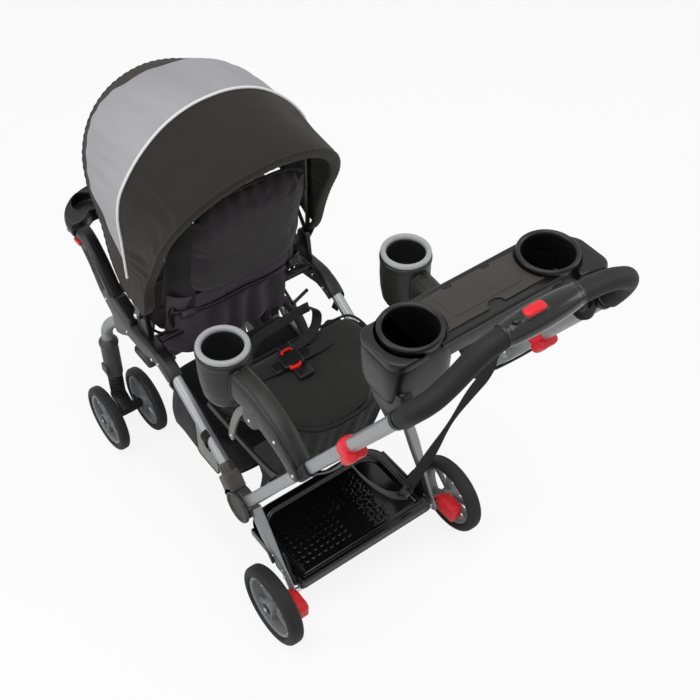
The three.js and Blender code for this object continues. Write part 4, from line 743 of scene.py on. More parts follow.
hem_cloth = cloth("hem cloth", (0.014, 0.013, 0.012), 0.0012, (0.024, 0.022, 0.020), 0.1, 0.002, 26.0)
for name, at_angle, wide_r, wide_a in (
    ("canopy_rear_hem", REAR + 0.002, 12.5, 4.4), ("canopy_front_hem", FRONT - 0.012, 6, 3.2)
):
    line, out_way, low_run, _ = canopy_grid(at_angle, at_angle + 0.01, 2, -wide_r + 1.2, 0.25)
    line = line[0]
    gather = 0.7 * np.sin(np.arange(len(line)) * 1.9) * ease(low_run[0], 20, 120)
    points, faces = swept(line, wide_r + gather, wide_a + 0.4 * gather, 24, 2.4, out_way[0])
    hem = piece(name, [(points, faces)], hem_cloth, None)
    lay_uv(hem.data, "Cloth", np.array([(v.co.x, v.co.y + v.co.z) for v in hem.data.vertices]))
    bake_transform(hem)
    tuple(fold_start)
    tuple(fold_end)

# Bows: flat black strips on the bolt that run on as round rods under the cloth, with a domed bolt
# head outside each ear.
strip_black = moulded("strip black", (0.012, 0.012, 0.012), 0.36)
for name, at_angle, layer, body in (
    ("canopy_front_bow", FRONT - 0.012, 0, "canopy_front"),
    ("canopy_mid_bow", bow_angles[1], 1, "canopy_mid"),
    ("canopy_rear_bow", REAR + 0.002, 2, "canopy_rear"),
):
    line, out_way, low_run, _ = canopy_grid(at_angle, at_angle + 0.01, 2, -8.0 if layer != 1 else -4.0, 0.3)
    inside = low_run[0] > 62
    rod_line = line[0][inside]
    shells = [swept(rod_line, 3.2, 6.0 if layer == 1 else 3.2, 12, 2.6, out_way[0][inside])]
    way = np.array([np.cos(at_angle), np.sin(at_angle)])
    beside = np.array([-way[1], way[0]])
    strip_in = 208.3 + layer * 2.9
    foot = np.array([PIVOT_Y, PIVOT_Z])
    bar = soft(
        [
            foot - way * 11 + beside * 9, foot - way * 11 - beside * 9, foot + way * 124 - beside * 5,
            foot + way * 124 + beside * 5,
        ],
        8, 4,
    )
    for s in (1, -1):
        strip = slab(bar, strip_in, strip_in + 2.6, 0.7, 0)
        shells += on_side([strip], s)
    piece(name, shells, strip_black, body, (name,))
bolts = []
for s in (1, -1):
    bolts.append(screw((s * 217.2, PIVOT_Y, PIVOT_Z), (s, 0, 0), 6, 3.4))
piece("canopy_bolts", bolts, bright_steel, "canopy_rear")


# Front seat: a quilted back that hugs the child, with a gathered top edge and wings that run forward, and a
# flat seat cushion. Both are woven polyester over foam, sewn with piping and buttoned to the frame's rods.
def stuffed(
    name, shell, finish, body, stands_for, flat, voxel=0.0055, cap=0.006, pressure=4.0, shaping=None
):
    """A padded piece: the closed form is remeshed in even cubes, blown out as cloth by air inside it
    without weight, each point kept within `cap` of its start, subdivided once, and given its seams by
    `shaping`. `flat` names the two axes on which the weave lies."""
    thing = piece(name, [shell], finish, None, (), 180)
    remesh = thing.modifiers.new("even", "REMESH")
    remesh.mode = "VOXEL"
    remesh.voxel_size = voxel
    fold_in = lambda: bpy.data.meshes.new_from_object(
        thing.evaluated_get(bpy.context.evaluated_depsgraph_get())
    )
    even = fold_in()
    thing.modifiers.clear()
    thing.data = even
    start = np.empty(len(even.vertices) * 3)
    even.vertices.foreach_get("co", start)
    start = start.reshape(-1, 3)
    air = thing.modifiers.new("air", "CLOTH")
    air.settings.quality = 4
    air.settings.use_pressure = True
    air.settings.uniform_pressure_force = pressure
    air.settings.effector_weights.gravity = 0
    air.settings.tension_stiffness = 22
    air.settings.bending_stiffness = 0.8
    air.point_cache.frame_start, air.point_cache.frame_end = 1, 20
    for step in range(1, 21):
        bpy.context.scene.frame_set(step)
    blown = fold_in()
    thing.modifiers.clear()
    bpy.context.scene.frame_set(1)
    end = np.empty(len(blown.vertices) * 3)
    blown.vertices.foreach_get("co", end)
    shift = end.reshape(-1, 3) - start
    far = np.linalg.norm(shift, axis=1, keepdims=True)
    start = start + shift * np.minimum(1, cap / np.maximum(far, 1e-9))
    even.vertices.foreach_set("co", start.ravel())
    finer = thing.modifiers.new("finer", "SUBSURF")
    finer.levels = finer.render_levels = 1
    done = fold_in()
    thing.modifiers.clear()
    thing.data = done
    place = np.empty(len(done.vertices) * 3)
    done.vertices.foreach_get("co", place)
    place = place.reshape(-1, 3)
    drawn = (place - row(np.zeros((1, 3)))) * 1000
    if shaping:
        drawn = shaping(drawn)
        done.vertices.foreach_set("co", row(drawn).ravel())
    lay_uv(done, "Cloth", drawn[:, flat] / 1000)
    done.shade_smooth()
    done.materials.clear()
    done.materials.append(finish)
    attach(thing, body)
    if stands_for:
        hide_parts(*stands_for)
    return thing


def pillow(outline, low, high, power=3.0):
    """A crowned closed form over a flat outline: rings drawn towards its middle by a share s, at a
    height of half*(1 - (1 - s)^power)^(1/2) above and below the middle level."""
    outline = np.asarray(outline, float)
    centre = outline.mean(0)
    share = np.linspace(0, 1, 8) ** 1.3
    rise = np.sqrt(1 - (1 - share) ** power)
    middle, half = (low + high) / 2, (high - low) / 2
    levels = (
        [(s, middle - half * r) for s, r in zip(share[::-1], rise[::-1])]
        + [(s, middle + half * r) for s, r in zip(share[1:], rise[1:])]
    )
    grid = np.empty((len(levels), len(outline), 3))
    for ring, (s, level_at) in zip(grid, levels):
        ring[:, :2] = outline + (centre - outline) * min(s, 0.985)
        ring[:, 2] = level_at
    return skin(grid, around=True, ends=True)


def seam(outline, level, radius, finish, name, body, out=0.0):
    """Piping: a round cord of cloth sewn along a flat outline at a level, moved out along the outline's
    normal."""
    line = smooth(np.vstack([outline, outline[:1]]), 160)[:-1]
    tangent = np.roll(line, -1, 0) - np.roll(line, 1, 0)
    normal = np.column_stack([tangent[:, 1], -tangent[:, 0]]) / np.linalg.norm(
        tangent, axis=1, keepdims=True
    )
    if np.sum(line[:, 0] * np.roll(line[:, 1], -1) - line[:, 1] * np.roll(line[:, 0], -1)) < 0:
        normal = -normal
    line = line + normal * out
    path = np.column_stack([line, np.full(len(line), level)])
    return tube_ring(path, radius, finish, name, body)


def tube_ring(path, radius, finish, name, body):
    """A closed cord: circles of one radius round each point of a closed path, square to it."""
    sides = 8
    way = np.roll(path, -1, 0) - np.roll(path, 1, 0)
    way /= np.linalg.norm(way, axis=1, keepdims=True)
    side = np.cross(way, np.broadcast_to((0.02, 0.03, 1.0), way.shape))
    side /= np.linalg.norm(side, axis=1, keepdims=True)
    other = np.cross(way, side)
    turn = np.linspace(0, 2 * np.pi, sides, endpoint=False)
    grid = (
        path[:, None]
        + radius * (
            np.cos(turn)[None, :, None] * side[:, None] + np.sin(turn)[None, :, None] * other[:, None]
        )
    )
    cord = piece(name, [skin(grid, around=True, along=True)], finish, body, merged=False)
    run = np.repeat(np.concatenate([[0], np.cumsum(np.linalg.norm(np.diff(path, axis=0), axis=1))]), sides)
    lay_uv(
        cord.data, "Cloth",
        np.column_stack([run, np.tile(turn * radius, len(path))])[: len(cord.data.vertices)] / 1000,
    )
    return cord


def two_faced(name, outer, inner, finish, body, across=0):
    """Single cloth with its thickness: a closed shell from the grids of its outer and inner face."""
    grid = np.concatenate([outer, inner[::-1]], 0).transpose(1, 0, 2)
    thing = piece(name, [skin(grid, around=True, ends=True)], finish, body, (), 60, False)
    lay_flat(thing, across, 2)
    return thing


seat_cloth = cloth("seat cloth", (0.019, 0.0165, 0.0185), 0.0012, sheen=0.14, folds=0.0035, fold_size=9.0)
seat_piping = cloth("seat piping", (0.011, 0.011, 0.011), 0.0012, sheen=0.1, folds=0.0005)
charcoal_cloth = cloth(
    "charcoal cloth", (0.048, 0.042, 0.048), 0.0012, sheen=0.12, folds=0.003, fold_size=14.0
)

SEAT_Y, SEAT_Z, LEAN = -230.0, 462.0, np.radians(13)
UP = np.array([0, np.sin(LEAN), np.cos(LEAN)])
BACK = np.array([0, np.cos(LEAN), -np.sin(LEAN)])
BEND_AT, BEND = 104.0, 62.0


def on_back(u, v, w):
    """A point of the seat back: u across, v up from the hinge and w towards the rear. Past BEND_AT the
    panel turns forward on a circle of radius BEND, so that x grows by its sine and the depth by 1 minus
    its cosine."""
    u, v, w = np.broadcast_arrays(np.asarray(u, float), v, w)
    over = np.clip(np.abs(u) - BEND_AT, 0, None) / BEND
    x = np.sign(u) * (np.minimum(np.abs(u), BEND_AT) + (BEND + w) * np.sin(over))
    ahead = (BEND + w) * (1 - np.cos(over)) - w
    base = np.array([0, SEAT_Y, SEAT_Z])
    return base + x[..., None] * (1, 0, 0) + v[..., None] * UP - ahead[..., None] * BACK


BACK_HALF, BACK_LOW, BACK_TOP = 138.0, 98.0, 389.0
turn = np.linspace(0, 2 * np.pi, 112, endpoint=False)
rim_u = BACK_HALF * np.sign(np.cos(turn)) * np.abs(np.cos(turn)) ** 0.46
middle_v = (BACK_LOW + BACK_TOP) / 2
rim_v = (
    middle_v
    + (BACK_TOP - BACK_LOW) / 2 * np.sign(np.sin(turn)) * np.abs(np.sin(turn)) ** (
        0.62 - 0.2 * (np.sin(turn) < 0)
    )
)
rings = []
shares = np.linspace(0.015, 1, 15)
for direction in (-1, 1):
    for share in shares if direction < 0 else shares[::-1][1:]:
        u, v = rim_u * share, middle_v + (rim_v - middle_v) * share
        thick = (5 + 17 * np.sqrt(1 - share**3.2)) * (1 - 0.35 * np.clip((np.abs(u) - 100) / 70, 0, 1))
        rings.append(on_back(u, v, direction * thick))
back_shell = skin(np.array(rings), around=True, ends=True)


def gathered(points):
    """Puckers along the padded back's top and sides: cosines along the edge that die away within 45 mm
    of it."""
    local = points - (0, SEAT_Y, SEAT_Z)
    v, w = local @ UP, local @ BACK
    near_top = np.exp(-np.clip(BACK_TOP - 4 - v, 0, None) / 26)
    near_side = np.exp(-np.clip(133 - np.abs(points[:, 0]), 0, None) / 18)
    wave = (
        2.8 * near_top * np.cos(points[:, 0] / 5.3 + 0.8 * np.sin(points[:, 0] / 31))
        + 1.2 * near_side * np.cos(v / 6.1)
    )
    sag = 1.6 * np.sin(v / 34 + points[:, 0] / 57) * np.exp(-(((v - 150) / 90) ** 2))
    seam_line = -2.0 * np.exp(-(((v - 128) / 3.4) ** 2)) * (np.abs(points[:, 0]) < 120)
    return (
        points + BACK * (np.sign(w) * (wave + seam_line) + sag)[:, None]
        + UP * (near_top * 2.4 * np.cos(points[:, 0] / 5.3 + 1.1))[:, None]
    )


seat_back = stuffed(
    "seat_back", back_shell, seat_cloth, "seat_back", (), [0, 2], 0.0055, 0.007, 4.0,
    gathered,
)
tube_ring(
    on_back(rim_u * 1.006, middle_v + (rim_v - middle_v) * 1.008, 0.0) + 0 * rim_u[:, None], 3.2,
    seat_piping, "seat_back_piping", "seat_back",
)

# Lower cloth: below the padding a charcoal polyester runs down the back's board. It is sewn to the board
# above and gathered on a rod across the hinge.
lower_u = np.linspace(-112, 164, 170)
lower_v = np.linspace(-68, 118, 50)
U, V = np.meshgrid(lower_u, lower_v)
falls = (
    4.2 * np.cos(U / 9.4 + 1.3 * np.sin(U / 43)) * (1 - ease(V, 30, 66)) + 1.4 * np.sin(U / 23 + V / 17)
    + 9 * (1 - ease(V, -60, 50))
)
front_face, rear_face = on_back(U, V, 9 + falls - 2), on_back(U, V, 9 + falls)
lower = two_faced("seat_back_cloth", rear_face, front_face, charcoal_cloth, None)
tuple(row(on_back(0, -60, 0)))
tuple(row(on_back(0, 70, 0)))
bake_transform(lower)
back_board = piece(
    "seat_back_board", [slab(soft([(-118, 4), (118, 4), (124, 110), (-124, 110)], 14, 4), -6, 2, 1.5, 2)],
    moulded("board black", (0.014, 0.014, 0.014), 0.5), None, (), 35,
)
board_points = np.empty(len(back_board.data.vertices) * 3)
back_board.data.vertices.foreach_get("co", board_points)
flat_points = (board_points.reshape(-1, 3) - row(np.zeros((1, 3)))) * 1000
back_board.data.vertices.foreach_set(
    "co", row(on_back(flat_points[:, 0], flat_points[:, 1], flat_points[:, 2])).ravel()
)
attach(back_board, "seat_back")

# Side wings: a single layer of black polyester, sewn along the padded back's edges and drawn forward to
# the frame on both sides.
wing_cloth = cloth("wing cloth", (0.010, 0.0095, 0.010), 0.0012, sheen=0.1, folds=0.004, fold_size=9.0)
for side, s in SIDES:
    wing_u, wing_v = np.meshgrid(np.linspace(0, 1, 40), np.linspace(0, 1, 60))
    wing_across = s * (112 + wing_u * (80 - 14 * wing_v))
    wing_fold = 2.2 * np.sin(wing_v * 17 + 3 * wing_u) * np.sin(np.pi * wing_u)
    wing_rise = 52 + wing_v * (300 - 30 * wing_u**2)
    wing_front = 8 - 22 * wing_u**1.5 + wing_fold
    wing_faces = [on_back(wing_across, wing_rise, wing_front + lift) for lift in (0.9, -0.9)]
    wing = two_faced(f"seat_wing_{side}", *wing_faces[::s], wing_cloth, "seat_back", 1)

seat_strip = moulded("seat rod black", (0.011, 0.011, 0.011), 0.34)
rod_line = np.array([
    (-187.6, SEAT_Y, SEAT_Z), (-150, SEAT_Y, SEAT_Z), (150, SEAT_Y, SEAT_Z), (187.6, SEAT_Y, SEAT_Z)
])
hinge_parts = [swept(np.linspace(rod_line[0], rod_line[-1], 24), 6.6, sides=18, facing=(0, 1, 0))]
across_rod = smooth(on_back(np.array([-150.0, -90, 0, 90, 150]), 70.0, 14.0), 60)
hinge_parts.append(swept(across_rod, 4.6, sides=12, facing=(0, 1, 0)))
for s in (1, -1):
    clip = soft([(-17, -9), (17, -9), (15, 12), (-13, 14)], 5, 4)
    hinge_parts.append(
        moved(
            slab(clip, -7, 7, 1.6, 2), by=on_back(s * 126.0, 72.0, 16.0), turn=0.9, about=(0, 0, 0), axis=0
        )
    )
    hinge_parts.append(
        swept(
            smooth(
                on_back(
                    np.array([s * 152.0, s * 156, s * 152]), np.array([10.0, 45, 80]), np.array([2.0, 6, 4])
                ),
                24,
            ),
            5, 9, 12, 3,
        )
    )
piece("seat_back_rods", hinge_parts, seat_strip, "seat_back", ("front_seat_back",))

base_outline = soft(
    [
        (-160, -448), (160, -448), (176, -400), (180, -262), (150, -240), (-150, -240), (-180, -262),
        (-176, -400),
    ],
    34, 6,
)


def base_seams(points):
    """Two sewn channels across the cushion, each a groove 3 mm deep shaped as a
    bell."""
    x, y, z = points.T
    on_top = (z > 450).astype(float)
    dip = 3.4 * (np.exp(-(((y + 380) / 4) ** 2)) + np.exp(-(((y + 305) / 4) ** 2))) * (np.abs(x) < 140)
    ripple = 0.9 * np.cos(x / 6.2) * np.exp(-np.minimum(np.abs(y + 380), np.abs(y + 305)) / 14)
    return points - np.column_stack([0 * x, 0 * x, on_top * (dip - ripple)])


seat_base = stuffed(
    "front_seat_cushion", pillow(base_outline, 443, 468), seat_cloth, "frame",
    ("front_seat_base",), [0, 1], 0.0055, 0.005, 4.0, base_seams,
)
seam(base_outline, 455.5, 3, seat_piping, "front_seat_piping", "frame", 3)
base_rods = [rod((-187, y, 438), (187, y, 438), 16, 5, sides=12) for y in (-430, -262)]
piece("front_seat_rods", base_rods, seat_strip, "frame")

# Jump seat: a flat cushion with piping on a steel hoop. Its rails hook on the handle tubes, and a strap
# with a two-button buckle comes through it. The cover is loose and shows faint creases.
half_pad = [
    (90, -69), (170, -65), (182, -42), (182, 0), (162, 38), (132, 76), (98, 124), (66, 156), (30, 165)
]
pad_outline = np.array(half_pad + [(-x, y) for x, y in half_pad[::-1]])
pad_soft = smooth(np.vstack([soft(pad_outline, 16, 4), soft(pad_outline, 16, 4)[:1]]), 120)[:-1]
jump_cloth = cloth(
    "jump seat cloth", (0.014, 0.0135, 0.013), 0.0012, sheen=0.12, folds=0.004, fold_size=8.0
)


def pad_creases(points):
    """Faint creases that cross the pad's top: three soft ridges, and a short shallow slot towards its
    front."""
    x, y, z = points.T
    on_top = (z > 456).astype(float)
    ridges = 1.3 * np.sin(x / 37 + y / 61 + 0.6) + 0.7 * np.sin(x / 19 - y / 44)
    slot_dip = 4 * np.exp(-(((x - 12) / 15) ** 6) - (((y + 34) / 5) ** 2))
    return points + np.column_stack([0 * x, 0 * x, on_top * (ridges - slot_dip)])


jump_pad = stuffed(
    "jump_seat_pad", pillow(pad_soft * (0.985, 0.985) + (0, 0.7), 445.5, 466.5, power=5), jump_cloth,
    "jump_seat", ("rear_seat_pad",), [0, 1], 0.0055, 0.0035, 3.0, pad_creases,
)
seam(pad_soft, 459, 2.8, seat_piping, "jump_pad_piping", "jump_seat", -0.4)
seam(pad_soft, 447, 2.4, seat_piping, "jump_pad_lower_piping", "jump_seat", -1.2)


def upright(outline, at, half, edge):
    """A plate that stands across X: an outline in (y, z), `half` thick to each side of the level `at`."""
    return slab(outline, at - half, at + half, edge, 0)


rail_parts = []
HOOP_Z = 434
half_hoop = np.array([(60, 138), (118, 74), (158, 10), (140, -34)])
hoop = [*(half_hoop[::-1] * (-1, 1)), (0, 150), *half_hoop]
hoop = smooth([(x, y, HOOP_Z) for x, y in hoop], 90)
rail_parts.append(swept(hoop, 6.5, sides=14, facing=(0, 0, 1)))
rail_parts.append(rod((-186, -46, HOOP_Z), (186, -46, HOOP_Z), 20, 5.6, sides=14))
for s in (1, -1):
    rail = soft(
        [
            (-52, 426), (96, 424), (178, 426), (204, 434), (208, 452), (196, 459), (176, 448), (96, 440),
            (-46, 444),
        ],
        12, 4,
    )
    rail_parts.append(upright(rail, s * 188.7, 3, 1.2))
    rail_parts.append(rod((s * 166, 10, HOOP_Z), (s * 188, 10, HOOP_Z), 6, 5, sides=12))
    rail_parts.append(screw((s * 185.4, -38, 435), (-s, 0, 0), 4, 2))
    rail_parts.append(rod((s * 186, 197, 442), (s * 208.5, 197, 442), 6, 7, sides=16))
piece("jump_seat_frame", rail_parts, seat_strip, "jump_seat", ("rear_seat_frame",))

webbing_black = cloth("webbing", (0.010, 0.010, 0.0105), 0.0021, (0.024, 0.024, 0.025), 0.08, 0.0006, 30.0)


def strap(name, line, half_width, facing, body, thick=1.1):
    """A flat strap: a thin superellipse carried along a line, its map running along and across the
    strap."""
    line = np.asarray(line, float)
    sides = 14
    ribbon = piece(
        name, [swept(line, half_width, thick, sides, 5, facing)], webbing_black, body, (), 60,
        False,
    )
    run = np.concatenate([[0], np.cumsum(np.linalg.norm(np.diff(line, axis=0), axis=1))])
    turn = np.linspace(0, 2 * np.pi, sides, endpoint=False)
    side = np.mean(half_width) * np.cos(turn)
    count = len(ribbon.data.vertices)
    lay_uv(
        ribbon.data, "Cloth",
        np.column_stack([np.repeat(run, sides), np.tile(side, len(line))])[:count] / 1000,
    )
    return ribbon


rising = smooth(
    [(74, -70, 471), (40, -84, 500), (8, -79, 513), (-24, -72, 526), (-53, -70, 533), (-76, -70, 533)], 60
)
strap("harness_loop", rising, 10.5, (0.1, 0.45, -0.85), "seat_back")
falling = smooth(
    [
        (-70, -66, 536), (-88, -70, 520), (-96, -70, 498), (-86, -60, 484), (-60, -47, 478),
        (-36, -38, 480), (-2, -34, 482),
    ],
    60,
)
strap("harness_fall", falling, 10.5, (-0.55, 0.8, -0.15), "seat_back")
crotch = smooth([(-86, -17, 472), (-60, -12, 474), (-30, -10, 478), (-8, -9, 480)], 40)
strap("harness_crotch", crotch, 14, (0, 1, 0.05), "jump_seat")
far_side = smooth([(120, -20, 471), (90, -14, 474), (60, -9, 477), (36, -8, 479)], 40)
strap("harness_left", far_side, 11, (0, 1, 0), "jump_seat")
patch = soft([(-15, -9), (15, -9), (15, 9), (-15, 9)], 2, 2)
stitched = piece(
    "harness_patch", [moved(slab(patch, 0, 1.6, 0.5, 2), by=(-60, -42, 470.2), turn=0.5, axis=2)],
    webbing_black, "jump_seat",
)
lay_flat(stitched, 0, 1)

buckle_black = moulded("buckle black", (0.013, 0.013, 0.014), 0.30)
buckle = [slab(soft([(-12, -26), (34, -30), (38, 8), (-8, 13)], 6, 4), 474, 489, 4, 2, 5)]
for centre, half, deep in (((9, 32), 17, 13), ((3, -46), 15, 8), ((49, -6), 9, 13)):
    block = np.array([(-half, -deep), (half, -deep), (half, deep), (-half, deep)]) + centre
    buckle.append(slab(soft(block, 3.5, 4), 474.5, 485, 3, 2, 4))
buckle.append(slab(soft([(-36, -20), (-16, -21), (-14, 4), (-34, 5)], 3, 3), 475.5, 481.5, 1.5, 2))
piece("buckle", buckle, buckle_black, "jump_seat", ("harness_buckle",))
release_red = moulded("buckle red", (0.75, 0.02, 0.014), 0.34)
buttons = []
for middle in ((10, -30), (16, 13.5)):
    tab = np.array([(-13, -6), (-5, -2.6), (5, -2.6), (13, -6), (13, 3), (4, 5.5), (-4, 5.5), (-13, 3)]) * (
        1, 1 if middle[1] > 0 else -1
    )
    buttons.append(slab(soft(tab[:: 1 if middle[1] > 0 else -1] + middle, 2, 3), 483, 490.4, 1.4, 2))
piece("buckle_buttons", buttons, release_red, "jump_seat")
strap(
    "recline_strap",
    smooth([(-110, -238, 506), (-107, -240, 460), (-103, -238, 405), (-99, -234, 364)], 40), 9, (1, 0, 0),
    "frame",
)
for side, s in SIDES:
    stay = [swept(np.linspace((s * 170, y0, z0), (s * 170, y1, z1), 10), 4.2, 3.2, 12, 2.6, (0, 1, 0.6))
            for y0, z0, y1, z1 in ((-318, 356, -270, 328), (-270, 328, -212, 416))]
    stay.append(
        moved(
            turned(
                soft([(0, -6), (6, -6), (6.6, -5), (6.6, 5), (6, 6), (0, 6)], 0.8, 2, False), (0, 0, 0), 0,
                20,
            ),
            by=(s * 170, -270, 328),
        )
    )
    piece(f"footrest_stay_{side}", stay, buckle_black, "frame")

# Rear curtain: black polyester that closes the basket behind, sewn to a piped edge over the platform's
# front.
curtain_u = np.linspace(-1, 1, 120)
curtain_v = np.linspace(0, 1, 46)
CU, CV = np.meshgrid(curtain_u, curtain_v)
half_across = 176 - 24 * ease(CV, 0.0, 0.5) - 4 * CV
hang_y = (
    96 - 74 * CV + 16 * np.sin(np.pi * CV) + 3.0 * np.sin(CU * 11 + CV * 3) * np.sin(np.pi * CV)
    + 1.5 * np.sin(CU * 27 - CV * 5) * CV * (1 - CV) * 4
)
hang_z = 428 - 300 * CV - 5 * np.cos(CU * np.pi) * np.sin(np.pi * CV)
rear_of = np.stack([CU * half_across, hang_y, hang_z], -1)
curtain = two_faced("rear_curtain", rear_of, rear_of - (0, 1.6, 0.3), jump_cloth, None)
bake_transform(curtain)


# Basket: a sack of black polyester on the two side tubes, its floor a stiff board in a sleeve. The side
# walls hang a little slack with a bound top edge, mesh windows near the rear and two buckles in front.
def basket_wall(depth, spread):
    """The sack's cross-section at a share `depth` of the way down: a superellipse of power 7 whose half
    width goes from the tubes' inner faces to the floor board's by a smooth step, its top edge level with
    the tubes' slope."""
    turn = np.linspace(0, 2 * np.pi, 220, endpoint=False)
    c, s = np.cos(turn), np.sin(turn)
    half_x = 188 + 10 * ease(depth, 0.05, 0.7) - 16 * ease(depth, 0.86, 1.0) + spread
    half_y = 116 - 6 * ease(depth, 0.7, 1.0) + spread
    x = half_x * np.sign(c) * np.abs(c) ** (2 / 7)
    y = -115 + half_y * np.sign(s) * np.abs(s) ** (2 / 7)
    top = (
        np.minimum(404, 301 + (60 - y) * 0.6228 - 15) - 50 * ease(-y, 160, 232)
        - 120 * ease(-y, 100, 225) * ease(-x, 100, 185)
    )
    low = (
        216 + 6 * ease(np.abs(x), 150, 200)
        - 5 * np.cos(np.clip(x / 188, -1, 1) * np.pi / 2) * np.cos(
            np.clip((y + 115) / 116, -1, 1) * np.pi / 2
        )
    )
    z = top + (low - top) * depth
    slack = np.sin(np.pi * depth) * (1 - depth * 0.3)
    fold = (
        3.2 * slack * np.sin(y / 17 + 2 * depth) * (np.abs(c) > 0.2)
        + 2.0 * slack * np.cos(x / 21 - 3 * depth) * (np.abs(s) > 0.2)
    )
    return np.stack([x + fold * np.sign(c) * np.abs(c) ** 3, y + fold * np.sign(s) * np.abs(s) ** 3, z], -1)


basket_cloth = cloth("basket cloth", (0.0125, 0.012, 0.0125), 0.0012, sheen=0.1, folds=0.004, fold_size=9.0)
levels = np.linspace(0, 1, 40)
outer_wall = [basket_wall(d, 0) for d in levels]
floor_ring = outer_wall[-1]
floor_middle = np.array([0, -115, 209.5])
outer_floor = [floor_middle + (floor_ring - floor_middle) * share for share in (0.9, 0.7, 0.45, 0.2, 0.004)]
inner_wall = [basket_wall(d, -1.8) for d in levels]
inner_floor = [ring + (0, 0, 2) for ring in outer_floor]
basket_grid = np.array(inner_floor[::-1] + inner_wall[::-1] + outer_wall + outer_floor)
basket = piece(
    "basket", [skin(basket_grid, around=True, ends=True)], basket_cloth, "frame",
    ("basket",), 60, False,
)
round_run = np.linspace(0, 1.2, 220)
depth_run = np.linspace(0, 0.9, len(basket_grid))
lay_uv(
    basket.data, "Cloth",
    np.stack(np.broadcast_arrays(round_run[None, :], depth_run[:, None]), -1).reshape(-1, 2),
)
edge_line = basket_wall(0.0, -0.6)
tube_ring(edge_line, 4.0, seat_piping, "basket_binding", "frame")
tube_ring(basket_wall(0.94, 0.6), 2.4, seat_piping, "basket_floor_piping", "frame")

# Mesh windows: pale knitted net sewn into each side wall of the basket near the rear, its cut edge covered
# by a binding.
net = bpy.data.materials.new("basket net")
net.use_nodes = True
tree = net.node_tree
shader = tree.nodes["Principled BSDF"]
net_place = put(tree, "TexCoord").outputs["Object"]
net_sides = put(
    tree, "SeparateXYZ", {0: put(tree, "VectorMath", {0: net_place, 3: 2100.0}, operation="SCALE")}
)
net_rows = [put(tree, "Math", {0: net_sides.outputs[n]}, operation="SINE") for n in (1, 2)]
net_holes = math_node(tree, "MULTIPLY", net_rows[0], net_rows[1])
net_thread = ranged(tree, net_holes, -0.35, 0.35)
net_tone = put(
    tree, "Mix", {0: net_thread, 6: (0.05, 0.05, 0.048, 1), 7: (0.42, 0.42, 0.40, 1)}, data_type="RGBA"
)
tree.links.new(net_tone.outputs[2], shader.inputs["Base Color"])
shader.inputs["Roughness"].default_value = 0.8
net_bump = put(tree, "Bump", {"Strength": 0.5, "Distance": 0.0005, "Height": net_thread})
tree.links.new(net_bump.outputs[0], shader.inputs["Normal"])
windows = []
for s in (1, -1):
    frame_line = soft([(-96, 244), (-14, 244), (-14, 296), (-96, 352)], 14, 5)
    windows.append(upright(frame_line, s * 200.2, 0.8, 0.5))
    path = np.column_stack([np.full(len(frame_line), s * 200.4), frame_line])
    tube_ring(path, 2.0, seat_piping, f"window_binding_{'left' if s > 0 else 'right'}", "frame")
piece("basket_windows", windows, net, "frame")

# Side buckles of the basket: black webbing sewn to the sack loops over the side tube, and a small moulded
# buckle closes each loop.
TUBE_X = 204.0


def tube_level(y):
    """The height of a side tube's middle line: it climbs forward from 301 at 60 mm behind the middle."""
    return 301 + (60 - y) * 0.6228


for side, s in SIDES:
    for number, y in enumerate((-150.0, -30.0)):
        z = tube_level(y)
        round_tube = np.array([
            (s * TUBE_X + s * a, y, z + b)
            for a, b in ((2, 15), (13, 10), (15.5, 0), (13, -12), (4, -26), (-4, -44))
        ])
        strap(f"basket_strap_{side}_{number}", smooth(round_tube, 30), 9, (0, 0.85, -0.53), "frame", 1.0)
        clasp = soft([(-13, -9), (13, -9), (11, 10), (-11, 10)], 4, 3)
        piece(
            f"basket_buckle_{side}_{number}",
            [moved(slab(clasp, -3.2, 3.2, 1.4, 0), by=(s * 212, y, z - 22))], buckle_black,
            "frame",
        )


